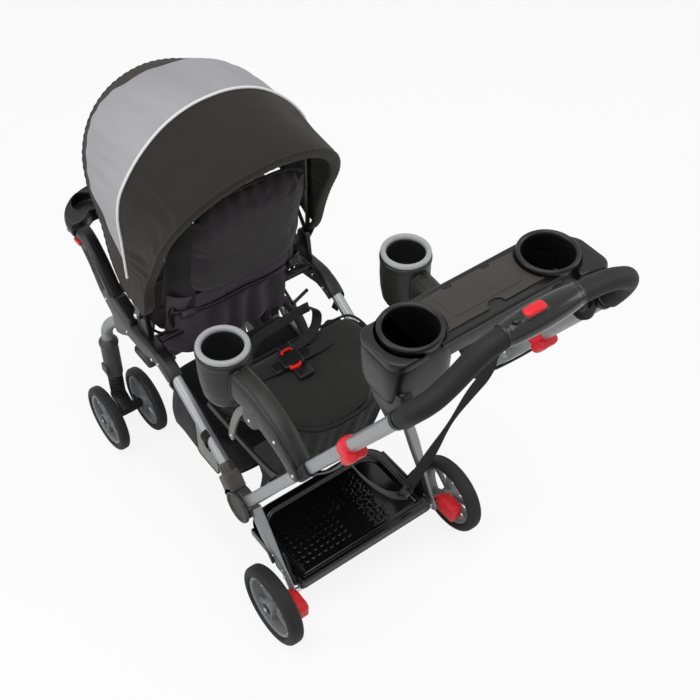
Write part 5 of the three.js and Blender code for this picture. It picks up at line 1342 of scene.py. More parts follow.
# Side housings: moulded black nylon halves screwed round the front tubes. Each starts as a sleeve on the
# side tube, rises past the canopy's bolt and ends in a deep arm with a raised border that carries the
# child's tray.
satin_black = moulded(
    "satin black", (0.0055, 0.0055, 0.0056), 0.33, (0.03, 0.03, 0.03), 1000, 0.03, 0.7, 0.1,
    Coat_Weight=0.12, Coat_Roughness=0.3,
)
stations = np.array([
    (-150, 429, 16), (-172, 441, 18), (-200, 449, 20), (-236, 446, 23), (-272, 442, 25), (-312, 442, 26),
    (-348, 450, 29), (-380, 466, 31),
    (-402, 491, 30), (-420, 518, 28), (-437, 541, 26), (-453, 558, 24), (-469, 572, 22), (-486, 581, 19),
    (-503, 584.5, 12),
])
housing_path = smooth(np.column_stack([stations[:, 0], stations[:, 1], stations[:, 2]]), 190)
for side, s in SIDES:
    line = np.column_stack([np.full(190, TUBE_X), housing_path[:, 0], housing_path[:, 1]])
    high = housing_path[:, 2]
    points, faces = swept(line, 15.6, high, 64, 5, (1, 0, 0))
    grid = points.reshape(190, 64, 3)
    along = np.linspace(0, 1, 190)[:, None]
    offset = (grid - line[:, None])
    way = np.gradient(line, axis=0)
    way /= np.linalg.norm(way, axis=1, keepdims=True)
    up = np.cross(way, (1, 0, 0))
    t = np.sum(offset * up[:, None], axis=2) / high[:, None]
    outer_face = ease(offset[..., 0], 12, 15.2)
    arm = ease(along, 0.58, 0.66) * (1 - ease(along, 0.93, 0.975))
    border = 1.5 * np.exp(-(((np.abs(t) - 0.74) / 0.10) ** 4)) * arm
    end_border = 1.5 * np.exp(-(((along - 0.635) / 0.016) ** 2)) * (np.abs(t) < 0.74)
    oval = 1 - ease(((along - 0.77) / 0.125) ** 2 + (t / 0.42) ** 2, 0.72, 1.0)
    crown = 1.1 * (1 - t**2) * (1 - arm)
    grid[..., 0] += outer_face * (border + np.maximum(end_border - border, 0) - 4.6 * oval + crown)
    rib = 0.9 * np.exp(-(((along - 0.1) / 0.006) ** 2)) * outer_face
    grid[..., 0] -= rib
    shells = [(grid.reshape(-1, 3), faces)]
    heel = soft(
        [
            (-412, 478), (-398, 452), (-383, 432), (-382, 394), (-374, 386), (-350, 398), (-322, 418),
            (-286, 430), (-300, 476), (-360, 500),
        ],
        7, 4,
    )
    shells.append(slab(heel, 189.5, 219.4, 4, 0, 4))
    ear = soft(
        [(-290, 448), (-238, 448), (-246, 520), (-250, 538), (-264, 544), (-278, 538), (-283, 520)], 10, 4
    )
    shells.append(slab(ear, 195.5, 207.6, 2, 0))
    lug = turned(
        soft(
            [(0, 560.5), (14.5, 560.5), (15.6, 562), (15.6, 572.6), (14.5, 574.2), (0, 574.2)], 1, 2, False
        ),
        (204, -538, 0), 2, 40,
    )
    shells.append(lug)
    bridge = soft([(-486, 566), (-486, 590), (-500, 589), (-536, 574), (-540, 561)], 5, 3)
    shells.append(slab(bridge, 194, 214, 2.5, 0))
    button_frame = slab(
        soft([(-510, 558), (-474, 558), (-474, 574), (-510, 574)], 5, 3), 216, 219.6, 0.8, 0
    )
    shells.append(button_frame)
    shells = on_side(shells, s)
    piece(
        f"side_housing_{side}", shells, satin_black, "frame", (f"side_housing_{side}",), 40
    )
    rivets = [
        screw((s * (220 + p), y, z), (s, 0, 0), 3.4, 1.5)
        for y, z, p in ((-318, 436, 0.6), (-216, 437, 0.6), (-190, 445, 0.6), (-398, 470, 0.2))
    ]
    piece(f"housing_screws_{side}", rivets, bright_steel, "frame")
    piece(
        f"housing_bolts_{side}",
        [screw((s * 186.5, y, z), (-s, 0, 0), 3.6, 2) for y, z in ((-214, 452), (-176, 440))], bright_steel,
        "frame",
    )

# Side tubes: round steel tube with a satin silver coat, its edges a little lighter by painted highlight and
# slight scuffs, running from housing to hub. Each is pressed into the side housing in front and into the
# hub's socket behind.
silver_coat = moulded(
    "silver coat", (0.34, 0.35, 0.355), 0.36, (0.5, 0.5, 0.5), 700, 0.03, 0.8, 0.12, Metallic=0.55
)
for side, s in SIDES:
    line = np.linspace((s * TUBE_X, 58, 302.3), (s * TUBE_X, -166, 441.8), 40)
    piece(
        f"side_tube_{side}", [swept(line, 11.8, sides=36, facing=(1, 0, 0))], silver_coat,
        "frame", (f"side_tube_{side}",),
    )

# Front legs: a bent steel tube in satin grey, a dark grey suspension sleeve with a rolled lip, a rubber
# bellows of five rings over the spring, and a black swivel fork that carries both wheels on one axle.
sleeve_grey = moulded("sleeve grey", (0.052, 0.052, 0.053), 0.40, (0.16, 0.16, 0.16), 900, 0.03, 0.8, 0.1)
leg_grey = moulded(
    "leg grey", (0.27, 0.275, 0.275), 0.38, (0.45, 0.45, 0.45), 700, 0.03, 0.7, 0.1, Metallic=0.35
)
bellows_rubber = moulded("bellows rubber", (0.006, 0.006, 0.006), 0.55, (0.03, 0.03, 0.03), 700, 0.05)
fork_black = moulded("fork black", (0.007, 0.007, 0.007), 0.40, (0.03, 0.03, 0.03), 900, 0.03)
STEM_Y = -462
for side, s in SIDES:
    stem = (s * CASTER_X, STEM_Y, 0)
    bend = smooth(
        [
            (s * CASTER_X, STEM_Y, 272), (s * CASTER_X, STEM_Y, 296), (s * 207.6, -459, 316),
            (s * 207, -443, 346), (s * 206, -418, 376), (s * 205, -392, 402), (s * TUBE_X, -370, 424),
        ],
        60,
    )
    piece(
        f"front_leg_{side}", [swept(bend, 13.4, sides=36, facing=(1, 0, 0))], leg_grey,
        "frame", (f"front_leg_{side}",),
    )
    post = soft(
        [
            (15, 174), (19.6, 174), (20.4, 180), (20.4, 258), (20.2, 268), (21.6, 272), (22.8, 277),
            (22, 283), (19, 286), (14.5, 291),
        ],
        2.5, 4, False,
    )
    post = np.vstack([[(14.3, 174)], post, [(13.9, 291)]])
    wall = np.vstack([post, [(13.9, 288), (14.3, 176)], post[:1]])
    shells = [turned(wall, stem, 2, 48)]
    lever = soft([(-14, 188), (14, 188), (12, 214), (-12, 214)], 5, 3)
    shells.append(moved(slab(lever, 18.2, 23.6, 2, 0), by=stem))
    piece(
        f"strut_sleeve_{side}", shells, sleeve_grey, "frame", (f"strut_sleeve_{side}",)
    )
    ring_count = 5
    h = np.linspace(0, 1, 121)
    bellow = np.column_stack([13.6 + 4.2 * np.abs(np.cos(np.pi * ring_count * h)) ** 0.7, 116 + 58 * h])
    bellow = np.vstack([[(0, 113.4)], [(14, 113.4)], bellow, [(11.5, 180), (11.5, 224)], [(0, 224)]])
    piece(
        f"strut_boot_{side}", [turned(bellow, stem, 2, 40)], bellows_rubber,
        f"strut_{side}", (f"strut_boot_{side}",), 60,
    )
    crown = turned(
        soft([(0, 88), (14, 88), (18, 94), (18.4, 106), (16, 111.6), (0, 111.6)], 2, 3, False),
        stem, 2, 40,
    )
    fork = [crown]
    spine = soft(
        [
            (-474, 108), (-450, 108), (-436, 98), (-412, 92), (-412, 72), (-428, 69), (-446, 78),
            (-468, 90), (-476, 98),
        ],
        9, 4,
    )
    fork.append(upright(spine, s * CASTER_X, 17, 4.5))
    for reach, thick, around in ((34, 12.5, 28), (36.5, 8, 24)):
        ends = [(s * CASTER_X + way * reach, CASTER_Y, CASTER_Z) for way in (-1, 1)]
        fork.append(rod(*ends, 20, thick, sides=around))
    for lean in (1, -1):
        web = soft([(-446, 96), (-424, 93), (-414, 82), (-424, 71), (-440, 76)], 6, 4)
        fork.append(upright(web, s * CASTER_X + lean * 27, 3, 1.5))
    piece(
        f"caster_fork_{side}", fork, fork_black, f"caster_{side}", (f"caster_fork_{side}",)
    )
    piece(
        f"caster_axle_{side}",
        [
            screw((s * CASTER_X + lean * 66.4, CASTER_Y, CASTER_Z), (lean, 0, 0), 3.6, 1.2)
            for lean in (1, -1)
        ],
        bright_steel, f"caster_{side}",
    )

# Footrest: a ribbed plate of dark grey plastic on two arms that hang from a rod between the housings. The
# ribs run across the plate for grip, and a gusset stiffens each arm's foot.
foot_parts = [rod((-187.4, -350, 425), (187.4, -350, 425), 20, 6.8, sides=20)]
plate_line = soft([(-150, -474), (150, -474), (150, -394), (-150, -394)], [20, 20, 8, 8], 6)
foot_parts.append(slab(plate_line, 206.5, 216, 2, 2))
for k in range(9):
    foot_parts.append(rod((-138, -464 + 8 * k, 216), (138, -464 + 8 * k, 216), 6, 1.7, 2.2, 10))
for s in (1, -1):
    arm = soft(
        [
            (-359, 431), (-341, 431), (-340, 416), (-376, 300), (-392, 222), (-398, 206), (-414, 207),
            (-408, 232), (-394, 300),
        ],
        9, 4,
    )
    foot_parts.append(upright(arm, s * 142, 4.5, 2))
    gusset = soft([(-470, 208), (-396, 208), (-392, 246), (-402, 244)], 8, 4)
    foot_parts.append(upright(gusset, s * 146, 3, 1.2))
piece("footrest", foot_parts, sleeve_grey, "frame", ("footrest",))


# Fold hubs: a cast grey cap with a sunk black disc outside, bolted through the leg and handle, a socket
# over the side tube's end, and a grey shoulder that is pinned to the handle tube and turns with it.
HUB = HUB_Y, HUB_Z = 91.0, 265.0
tube_way = np.array([0, 60 + 168, 301 - 443.0])
tube_way /= np.linalg.norm(tube_way)
hub_grey = moulded("hub grey", (0.056, 0.052, 0.048), 0.36, (0.14, 0.13, 0.12), 800, 0.04, 0.8, 0.1)
for side, s in SIDES:
    cap = soft(
        [
            (0, 217.4), (33, 217.4), (36, 218), (37, 220), (37, 224), (35.6, 226.8), (32.5, 227.2),
            (31, 226), (30.4, 223.5), (0, 223.5),
        ],
        1.2, 3, False,
    )
    cap_shell = turned(cap, (0, HUB_Y, HUB_Z), 0, 64)
    neck = np.concatenate([arc_line(HUB, 38, 110, 180, 14), [(38, 287), (28, 302), (48, 328), (62, 323)]])
    shells = [cap_shell, slab(neck, 189.5, 226, 5, 0, 5)]
    back_line = np.concatenate([arc_line(HUB, 36.6, 158, 300, 26), arc_line(HUB, 16.8, 300, 158, 26)])
    shells.append(slab(back_line, 195.5, 219, 2, 0))
    socket_line = np.array([(204, 52.4, 305.8), (204, 21, 325.4)])
    shells.append(
        swept(
            np.linspace(*socket_line, 14), [15.2, 16.6, 17, 17, 17, 17, 17, 17, 17, 17, 17, 17, 16.6, 15.2],
            sides=40, facing=(1, 0, 0),
        )
    )
    shells.append(rod((181, HUB_Y, HUB_Z), (218, HUB_Y, HUB_Z), 8, 5.9, sides=24))
    shells = on_side(shells, s)
    piece(f"hub_{side}", shells, hub_grey, "frame", (f"hub_{side}",))
    disc = turned(
        soft([(0, 223.2), (29.6, 223.2), (30, 224.2), (27, 224.6), (24, 224.2), (0, 223.9)], 0.5, 2, False),
        (0, HUB_Y, HUB_Z), 0, 56,
    )
    piece(f"hub_disc_{side}", on_side([disc], s), hub_black, "frame")
    shoulder = np.concatenate([arc_line(HUB, 36, 27, 119, 22), arc_line(HUB, 16.8, 119, 27, 22)])
    shoulder_shell = slab(shoulder, 190.5, 216.4, 3, 0, 4)
    clip_line = soft([(112, 292), (130, 318), (122, 330), (100, 296)], 5, 3)
    clip_shell = slab(clip_line, 188.6, 191.4, 0.8, 0)
    piece(f"hub_shoulder_{side}", on_side([shoulder_shell], s), hub_grey, "handle")
    piece(f"hub_clip_{side}", on_side([clip_shell], s), fork_black, "handle")
    piece(
        f"hub_screws_{side}",
        [
            screw((s * 216, 106, 291), (s, 0, 0), 3.4, 1.5),
            screw((s * 203, 118, 303.6), (0, -0.835, 0.55), 3.0, 1.2),
        ],
        bright_steel, "handle",
    )

# Rear legs: steel tube pressed flat towards the foot, in the same satin silver, riveted to a black bracket
# that carries the platform; the axle goes through the foot.
flat_silver = moulded(
    "flat silver", (0.27, 0.28, 0.285), 0.38, (0.45, 0.45, 0.45), 700, 0.03, 0.8, 0.1, Metallic=0.45
)
leg_path = smooth(
    [
        (195.5, 113, 267), (195.5, 126, 250), (194.5, 152, 209), (191, 184, 160), (188.3, 206, 126),
        (187.6, 229, 91),
    ],
    60,
)
run = np.linspace(0, 1, 60)
half_thick = 11.6 - 8.0 * ease(run, 0.25, 0.8)
half_wide = 12 + 1.6 * ease(run, 0.3, 0.7)
for side, s in SIDES:
    shells = [swept(leg_path, half_thick, half_wide, 36, 3.4, (1, 0, 0))]
    foot_disc = turned(
        soft([(0, 184.1), (13, 184.1), (13.9, 185), (13.9, 190.2), (13, 191.1), (0, 191.1)], 0.8, 2, False),
        (0, AXLE_Y, AXLE_Z), 0, 40,
    )
    eye_disc = turned(
        soft([(0, 184.2), (14, 184.2), (15.4, 185.4), (15.4, 192), (14, 193.2), (0, 193.2)], 1, 2, False),
        (0, HUB_Y, HUB_Z), 0, 40,
    )
    shells += [foot_disc, eye_disc]
    shells = on_side(shells, s)
    piece(f"rear_leg_{side}", shells, flat_silver, "rear_carriage", (f"rear_leg_{side}",))
    heads = [
        screw((s * 199.0, 176, 172), (s, 0, 0), 3, 1.6), screw((s * 193.2, 199, 138), (s, 0, 0), 3.4, 2.2),
        screw((s * 192.4, 206, 122), (s, 0, 0), 3.4, 2.2),
    ]
    heads.append(screw((s * 191.4, AXLE_Y, AXLE_Z), (s, 0, 0), 6.5, 2))
    piece(f"rear_leg_rivets_{side}", heads, bright_steel, "rear_carriage")
    bracket = soft(
        [(150, 118), (168, 160), (182, 176), (194, 168), (216, 122), (226, 104), (216, 96), (160, 98)], 8, 4
    )
    shells = [
        slab(bracket, 176.5, 183.4, 1.2, 0),
        slab(soft([(150, 172), (160, 190), (184, 158), (176, 142)], 5, 3), 199, 202, 0.8, 0),
    ]
    shells = on_side(shells, s)
    piece(f"platform_bracket_{side}", shells, fork_black, "rear_carriage")
piece("rear_axle", [rod((-259.6, AXLE_Y, AXLE_Z), (259.6, AXLE_Y, AXLE_Z), 30, 5.2, sides=20),
                    rod((-183, AXLE_Y, AXLE_Z), (183, AXLE_Y, AXLE_Z), 10, 5.6, sides=20)],
      bright_steel, "rear_carriage", ("rear_axle",))

# Platform: one glossy black moulding. A broad smooth border with two raised lines runs round a sunk deck,
# which carries low round studs, a cluster of four rings and a strip of long six-sided rings for grip.
gloss_black = moulded(
    "gloss black", (0.0035, 0.0035, 0.0037), 0.17, (0.03, 0.03, 0.03), 1400, 0.01, 0.5, 0.10,
    Coat_Weight=0.25, Coat_Roughness=0.1,
)
DECK_HALF = 176.0
DECK_LOW, DECK_HIGH = np.array([-DECK_HALF, 28.0]), np.array([DECK_HALF, 242.0])
grid_u, grid_v = np.linspace(-1, 1, 264), np.linspace(-1, 1, 168)


def deck_corner(u, v):
    """Square coordinates carried onto a rectangle whose front corners are round: x shrinks towards the
    front edge by 1 - (1 - (1 - f)^2.6)^(1/2.6) of a corner of 62 mm, with f the distance from the front
    over that corner."""
    y = DECK_LOW[1] + (DECK_HIGH[1] - DECK_LOW[1]) * (v + 1) / 2
    front = np.clip((y - DECK_LOW[1]) / 62, 0, 1)
    rear = np.clip((DECK_HIGH[1] - y) / 12, 0, 1)
    shrink = (
        62 * (1 - (1 - (1 - front) ** 2.6) ** (1 / 2.6)) + 12 * (1 - (1 - (1 - rear) ** 2.2) ** (1 / 2.2))
    )
    return u * (DECK_HALF - shrink), y


U, V = np.meshgrid(grid_u, grid_v)
X, Y = deck_corner(U, V)
corner = np.hypot(np.clip(np.abs(X) - 110, 0, None), np.clip(90 - Y, 0, None))
side_in = DECK_HALF - np.abs(X)
to_edge = np.minimum.reduce([side_in, DECK_HIGH[1] - Y, Y - DECK_LOW[1], 62 - corner])
deck_z = 121.6 - 6.2 * ease(to_edge, 20, 27)
deck_z = (
    deck_z + 0.9 * np.exp(-(((to_edge - 19) / 1.3) ** 2)) + 0.7 * np.exp(-(((to_edge - 13.5) / 1.1) ** 2))
)
deck_z -= 3.0 * (1 - ease(to_edge, 0, 5)) ** 2
on_deck = ease(to_edge, 27, 30)


def near(pitch_x, pitch_y, from_x, from_y, stagger=0.0):
    """Distance in x and y from the nearest point of a lattice with these pitches."""
    row_number = np.round((Y - from_y) / pitch_y)
    dx = X - from_x - stagger * (row_number % 2)
    return dx - pitch_x * np.round(dx / pitch_x), Y - from_y - pitch_y * row_number


dx, dy = near(15.5, 15.0, 20, 62)
in_studs = (X > 13) & (X < 144) & (Y > 56) & (Y < 206)
deck_z += 0.8 * (1 - ease(np.hypot(dx, dy), 3.4, 5.4)) * in_studs * on_deck
dx, dy = near(19, 19, -3, 78)
in_rings = (X > -20) & (X < 13) & (Y > 62) & (Y < 128)
ring_gap = np.abs(np.hypot(dx, dy) - 6.6)
deck_z += 0.8 * (1 - ease(ring_gap, 1.2, 2.6)) * in_rings * on_deck
dx, dy = near(22, 19.5, -50, 64, 11.0)
six = np.maximum(np.abs(dx) * 0.9 + np.abs(dy) * 0.5, np.abs(dy) * 0.86)
in_strip = (X > -86) & (X < -38) & (Y > 54) & (Y < 212)
deck_z += 0.8 * (1 - ease(np.abs(six - 7.2), 1.2, 2.6)) * in_strip * on_deck
top = np.stack([X, Y, deck_z], -1)
under = np.stack([X * 0.992, DECK_LOW[1] + (Y - DECK_LOW[1]) * 0.992 + 0.8, np.full_like(X, 98.5)], -1)
rim_row = lambda face, low: np.concatenate([face[0], face[1:, -1], face[-1, ::-1][1:], face[::-1, 0][1:-1]])
top_shell, under_shell = skin(top), skin(under)
edge_top, edge_under = rim_row(top, 0), rim_row(under, 0)
levels = np.linspace(0, 1, 6)[:, None, None]
wall = edge_top[None] * (1 - levels) + edge_under[None] * levels
wall_shell = skin(wall, around=True)


def upward(shell, up):
    """The shell with its faces turned so that their mean normal points up or down as asked."""
    points, faces = shell
    corners = points[np.array(faces)[:, :3]]
    mean = np.cross(corners[:, 1] - corners[:, 0], corners[:, 2] - corners[:, 0])[:, 2].sum()
    return (points, faces) if mean * up > 0 else (points, [face[::-1] for face in faces])


side_plates = [
    slab(
        soft([(60, 98), (60, 119), (214, 121), (226, 114), (226, 98)], 6, 3), s * 176 - 3.6, s * 176 + 3.6,
        1.4, 0,
    )
    for s in (1, -1)
]
ribs = [
    slab(soft([(36, 92), (226, 92), (226, 99), (36, 99)], 2, 2), x - 1.5, x + 1.5, 0.5, 0)
    for x in (-150, -90, -30, 30, 90, 150)
]
piece(
    "platform", [upward(top_shell, 1), upward(under_shell, -1), wall_shell, *side_plates, *ribs],
    gloss_black, "rear_carriage", ("platform",), 45,
)

# Brake pedals: red nylon levers that clip on the axle inside each wheel, with a flared two-lobed pad. The
# foot presses the pad down to lock the wheel and lifts it to free the wheel.
pedal_red = moulded("pedal red", (0.68, 0.016, 0.024), 0.36, (0.75, 0.10, 0.10), 700, 0.03, 0.6, 0.1)
for side, s in SIDES:
    boss = turned(
        soft([(7.6, 196), (11.4, 196), (12, 197), (12, 213), (11.4, 214), (7.6, 214)], 0.8, 2),
        (0, AXLE_Y, AXLE_Z), 0, 40,
    )
    arm = soft(
        [(221, 100), (232, 118), (252, 126.4), (272, 125), (276, 113), (258, 104), (244, 88), (238, 82)], 7,
        4,
    )
    blade = soft([(238, 82), (240, 122), (252, 128), (286, 126), (292, 118), (290, 84)], 6, 4)
    block = soft([(238, 92), (246, 112), (264, 117), (266, 96), (248, 82)], 5, 4)
    shells = [
        boss, slab(arm, 197, 213, 2.6, 0), slab(blade, 191, 219, 3.4, 0), slab(block, 200, 215.4, 2, 0)
    ]
    for lobe in (-1, 1):
        shells.append(
            swept(
                smooth(
                    [
                        (205 + lobe * 5.5, 252, 124), (205 + lobe * 6, 272, 121.5),
                        (205 + lobe * 6.2, 288, 113),
                    ],
                    16,
                ),
                [3, 4, 4.4, 4.6, 4.6, 4.6, 4.6, 4.6, 4.6, 4.6, 4.6, 4.4, 4.2, 3.8, 3, 1.6], 4, 16, 2.4,
                (1, 0, 0),
            )
        )
    shells = on_side(shells, s)
    piece(
        f"brake_pedal_{side}", shells, pedal_red, f"brake_{side}_body",
        (f"brake_pedal_{side}",),
    )


# Handle tubes: flat-sided silver steel from the hub up to a red collar, then a round upper tube. A
# black slider nub runs in a slot on the underside.
HANDLE_LEAN = np.arctan2(700.0, 461.6)
HANDLE_WAY = np.array([0, np.cos(HANDLE_LEAN), np.sin(HANDLE_LEAN)])
HANDLE_UNDER = np.array([0, np.sin(HANDLE_LEAN), -np.cos(HANDLE_LEAN)])


def on_handle(along, x=TUBE_X, under=0.0):
    """A point on the handle tube's line: distance from the hub, side position, and distance below the
    line."""
    along, x, under = np.broadcast_arrays(np.asarray(along, float), x, under)
    return (
        np.array([0, HUB_Y, HUB_Z]) + along[..., None] * HANDLE_WAY + under[..., None] * HANDLE_UNDER
        + x[..., None] * (1, 0, 0)
    )


for side, s in SIDES:
    lower = swept(on_handle(np.linspace(14, 640, 60), s * TUBE_X), 9.8, 12, 40, 4.2, (1, 0, 0))
    upper = swept(on_handle(np.linspace(618, 858, 40), s * TUBE_X), 12.2, 12.8, 40, 2.3, (1, 0, 0))
    eye = turned(
        soft([(6.4, 195.2), (15, 195.2), (15.8, 196.5), (15.8, 211.6), (15, 212.8), (6.4, 212.8)], 1, 2),
        (0, HUB_Y, HUB_Z), 0, 40,
    )
    shells = [lower, upper, *on_side([eye], s)]
    piece(f"handle_tube_{side}", shells, silver_coat, "handle", (f"handle_tube_{side}",))
    slot_line = on_handle(np.linspace(430, 575, 12), s * TUBE_X, 11.9)
    nub = [
        swept(slot_line, 2.6, 0.7, 12, 4, (1, 0, 0)),
        swept(
            on_handle(np.linspace(424, 452, 10), s * TUBE_X, 13.5), [3, 5, 5.6, 6, 6, 6, 6, 5.6, 5, 3], 3.4,
            20, 3, (1, 0, 0),
        ),
    ]
    piece(f"handle_slot_{side}", nub, hub_black, "handle")

# Red collars: a nylon ring that locks the fold, with a two-lobed grip for the fingers underneath.
collar_red = moulded("collar red", (0.74, 0.018, 0.03), 0.32, (0.8, 0.12, 0.12), 800, 0.03, 0.5, 0.1)
for side, s in SIDES:
    sleeve = np.linspace(613.5, 646.5, 16)
    wide = np.array([
        15.2, 16.4, 17.2, 17.6, 17.8, 17.8, 17.8, 17.8, 17.8, 17.8, 17.8, 17.8, 17.6, 17.2, 16.4, 15.2
    ])
    shells = [swept(on_handle(sleeve, s * TUBE_X), wide, sides=44)]
    for lobe in (-1, 1):
        shells.append(
            swept(on_handle(sleeve, s * TUBE_X + lobe * 9, 15.6), wide * 0.64, wide * 0.60, 32, 2.2)
        )
    bridge = swept(on_handle(sleeve[2:-2], s * TUBE_X, 14), 12, 8, 28, 3)
    lip = swept(
        on_handle(np.linspace(645, 652, 8), s * TUBE_X), [16.4, 16.2, 15.8, 15.4, 15, 14.6, 14.2, 13.6],
        sides=44,
    )
    piece(
        f"collar_{side}", [*shells, bridge, lip], collar_red, f"collar_{side}_body",
        (f"collar_{side}",), 50,
    )

# Handlebar: matte foam grips that sweep back and in, the right one bowed a little higher, and between them
# a glossy black shell that holds the fold release: a red push button with a small sliding lock beside it.
foam = moulded("grip foam", (0.0075, 0.0075, 0.0075), 0.62, (0.035, 0.035, 0.035), 650, 0.18, 0.7, 0.1)
half_bar = np.array([
    (204, 561.5, 976), (204, 573, 994), (202.5, 584, 1011), (196, 592, 1023), (183, 598, 1034),
    (163, 601, 1047), (141, 602.5, 1062), (120, 603, 1076), (100, 604.5, 1087), (78, 606, 1094),
    (55, 606, 1097),
])
far_rise = np.array([0, 3, 10, 20, 26, 26, 21, 12, 5, 1, 0])
for side, s in SIDES:
    rise = 0 if s > 0 else far_rise
    line = smooth(half_bar + np.multiply.outer(rise * np.ones(11), (0, 0.1, 1)), 90) * (s, 1, 1)
    count = np.arange(90)
    wide = 17.2 * np.minimum(1, 0.88 + 0.12 * ease(count, 0, 2)) * np.ones(90)
    piece(f"grip_{side}", [swept(line, wide, sides=44)], foam, "handle")
    start = on_handle(np.linspace(836, 846, 6), s * TUBE_X)
    piece(f"grip_collar_{side}", [swept(start, 15.6, sides=36)], hub_black, "handle")
shell_black = moulded(
    "release shell black", (0.005, 0.005, 0.005), 0.22, (0.03, 0.03, 0.03), 1400, 0.01, 0.5, 0.1,
    Coat_Weight=0.3, Coat_Roughness=0.12,
)
share = np.linspace(-1, 1, 81)
spine = np.column_stack([73 * share, 606.4 - 0.6 * share**2, 1097.9 - 2.0 * share**2])
seam_dip = 0.8 * np.exp(-(((np.abs(share) - 0.86) / 0.012) ** 2))
tall = 16.6 + 4.6 * (1 - share**2) ** 0.8 - seam_dip
deep = 17.2 + 5.6 * (1 - share**2) ** 0.8 - seam_dip
ends_in = np.abs(share) > 0.985
tall, deep = np.where(ends_in, tall * 0.9, tall), np.where(ends_in, deep * 0.9, deep)
housing = swept(spine, deep, tall, 56, 2.2, (0, 1, 0))
rings = [
    rod(
        (s * 67, 606.0, 1096.4), (s * 72, 605.8, 1096.0), 8,
        [16.6, 18.0, 18.5, 18.7, 18.7, 18.5, 18.0, 16.6], sides=44,
    )
    for s in (1, -1)
]
piece("release_shell", [housing, *rings], shell_black, "handle", ("handlebar",), 50)
button_line = np.column_stack([
    np.linspace(-3, 35, 24), np.full(24, 608.0), 1118.0 - 0.8 * np.linspace(-1, 1, 24) ** 2
])
taper = np.clip(1 - np.abs(np.linspace(-1, 1, 24)) ** 9, 0.12, 1) ** 0.5
piece(
    "release_button", [swept(button_line, 9.0 * taper, 6.2 * taper, 28, 3.2, (0, 1, 0))], collar_red,
    "release_body", ("release_button",),
)
frame_ring = swept(
    np.column_stack([
        np.linspace(-7, 39, 24), np.full(24, 608.0), 1115.8 - 0.8 * np.linspace(-1, 1, 24) ** 2
    ]),
    11.4 * taper, 4 * taper, 28, 2.8, (0, 1, 0),
)
lock = [
    frame_ring,
    swept(
        smooth([(43, 608, 1117.2), (50, 609, 1117), (56, 609, 1116)], 14),
        [2, 4, 5, 5.6, 6, 6, 6, 6, 6, 6, 5.6, 5, 4, 2], 4, 20, 3, (0, 1, 0),
    ),
]
piece("release_lock", lock, satin_black, "handle")

# Parent's tray: a satin black moulding with a deep cup at each end. Each cup's lip rolls over a hollow neck
# onto a stepped shoulder and a tall tub wall. A lidded box between two round rails fills the middle, the
# box at the right end is the longer one, and a side plate at each end is screwed to the handle tube.
tray_black = moulded(
    "tray black", (0.0055, 0.0055, 0.0055), 0.33, (0.03, 0.03, 0.03), 1200, 0.02, 0.5, 0.12,
    Coat_Weight=0.1, Coat_Roughness=0.25,
)
CUP_AT = (133, 487.6)
cup_rings = np.array([
    (968.5, 0, 2, 2, 2), (968.5, 0, 34, 34, 2), (970, 0, 36.4, 36.4, 2), (1000, 0, 38.4, 38.4, 2),
    (1040, 0, 40.4, 40.4, 2), (1052, 0, 41, 41, 2),
    (1057, 0, 41.8, 41.8, 2), (1059.4, 0, 43.6, 43.6, 2), (1060.2, 0, 46, 46, 2),
    (1059.4, 0, 48.6, 48.6, 2), (1056.6, 0, 50.2, 50.2, 2), (1053, 0, 50.2, 50.2, 2),
    (1050.4, 0, 49, 49, 2), (1047.5, 0.4, 48.5, 48, 2.1), (1044, 1.5, 52, 49.2, 2.4),
    (1039, 4, 56, 50.3, 2.9), (1032, 6, 58.4, 51, 3.4),
    (1020, 7, 59, 51.4, 3.8), (1000, 7, 58.6, 51, 4), (980, 6.6, 57.6, 50, 4),
    (962, 6, 55.6, 48, 3.8), (950, 5, 52, 44, 3.6),
    (944, 3.5, 46, 38, 3.3), (941, 1.5, 34, 28, 3), (940.2, 0, 3, 3, 2),
])
fine_rings = smooth(cup_rings, 120)
turn = np.linspace(0, 2 * np.pi, 72, endpoint=False)
c, s_ = np.cos(turn), np.sin(turn)
power = 2 / fine_rings[:, 4:5]
cup_x = CUP_AT[0] + fine_rings[:, 1:2] + fine_rings[:, 2:3] * np.sign(c) * np.abs(c) ** power
cup_y = CUP_AT[1] + fine_rings[:, 3:4] * np.sign(s_) * np.abs(s_) ** power
cup_grid = np.stack([cup_x, cup_y, np.broadcast_to(fine_rings[:, :1], cup_x.shape)], -1)
cup_shell = skin(cup_grid, around=True, ends=True)
inner_arc = arc_line(CUP_AT, 49, 252, 108, 40)
middle_line = np.concatenate([inner_arc, (inner_arc * (-1, 1))[::-1]])
outer_arc = arc_line(CUP_AT, 49, -72, 72, 40)
end_left = np.concatenate([
    outer_arc,
    soft([(140, 538), (182, 538), (197.6, 522), (197.6, 452), (186, 439), (140, 439)], 10, 5, False),
])
end_right = np.concatenate([
    outer_arc,
    soft(
        [(144, 549), (172, 555), (190, 560), (203, 546), (203, 488), (190, 468), (166, 443), (140, 439)], 9,
        5, False,
    ),
])
middle_box = slab(middle_line, 1014, 1050.4, 0.4, 2, 2)
rails = [rod((-114, y, 1045.6), (114, y, 1045.6), 12, 4.8, sides=24) for y in (443.0, 532.6)]
skirt = slab(soft([(-90, 454), (90, 454), (90, 522), (-90, 522)], 12, 4), 996, 1024, 9, 2, 5)
tray_shells = [
    cup_shell, mirrored(cup_shell), middle_box, slab(end_left, 1032, 1048.4, 5, 2, 5),
    mirrored(slab(end_right, 1027, 1048.4, 5, 2, 5)), skirt, *rails,
]
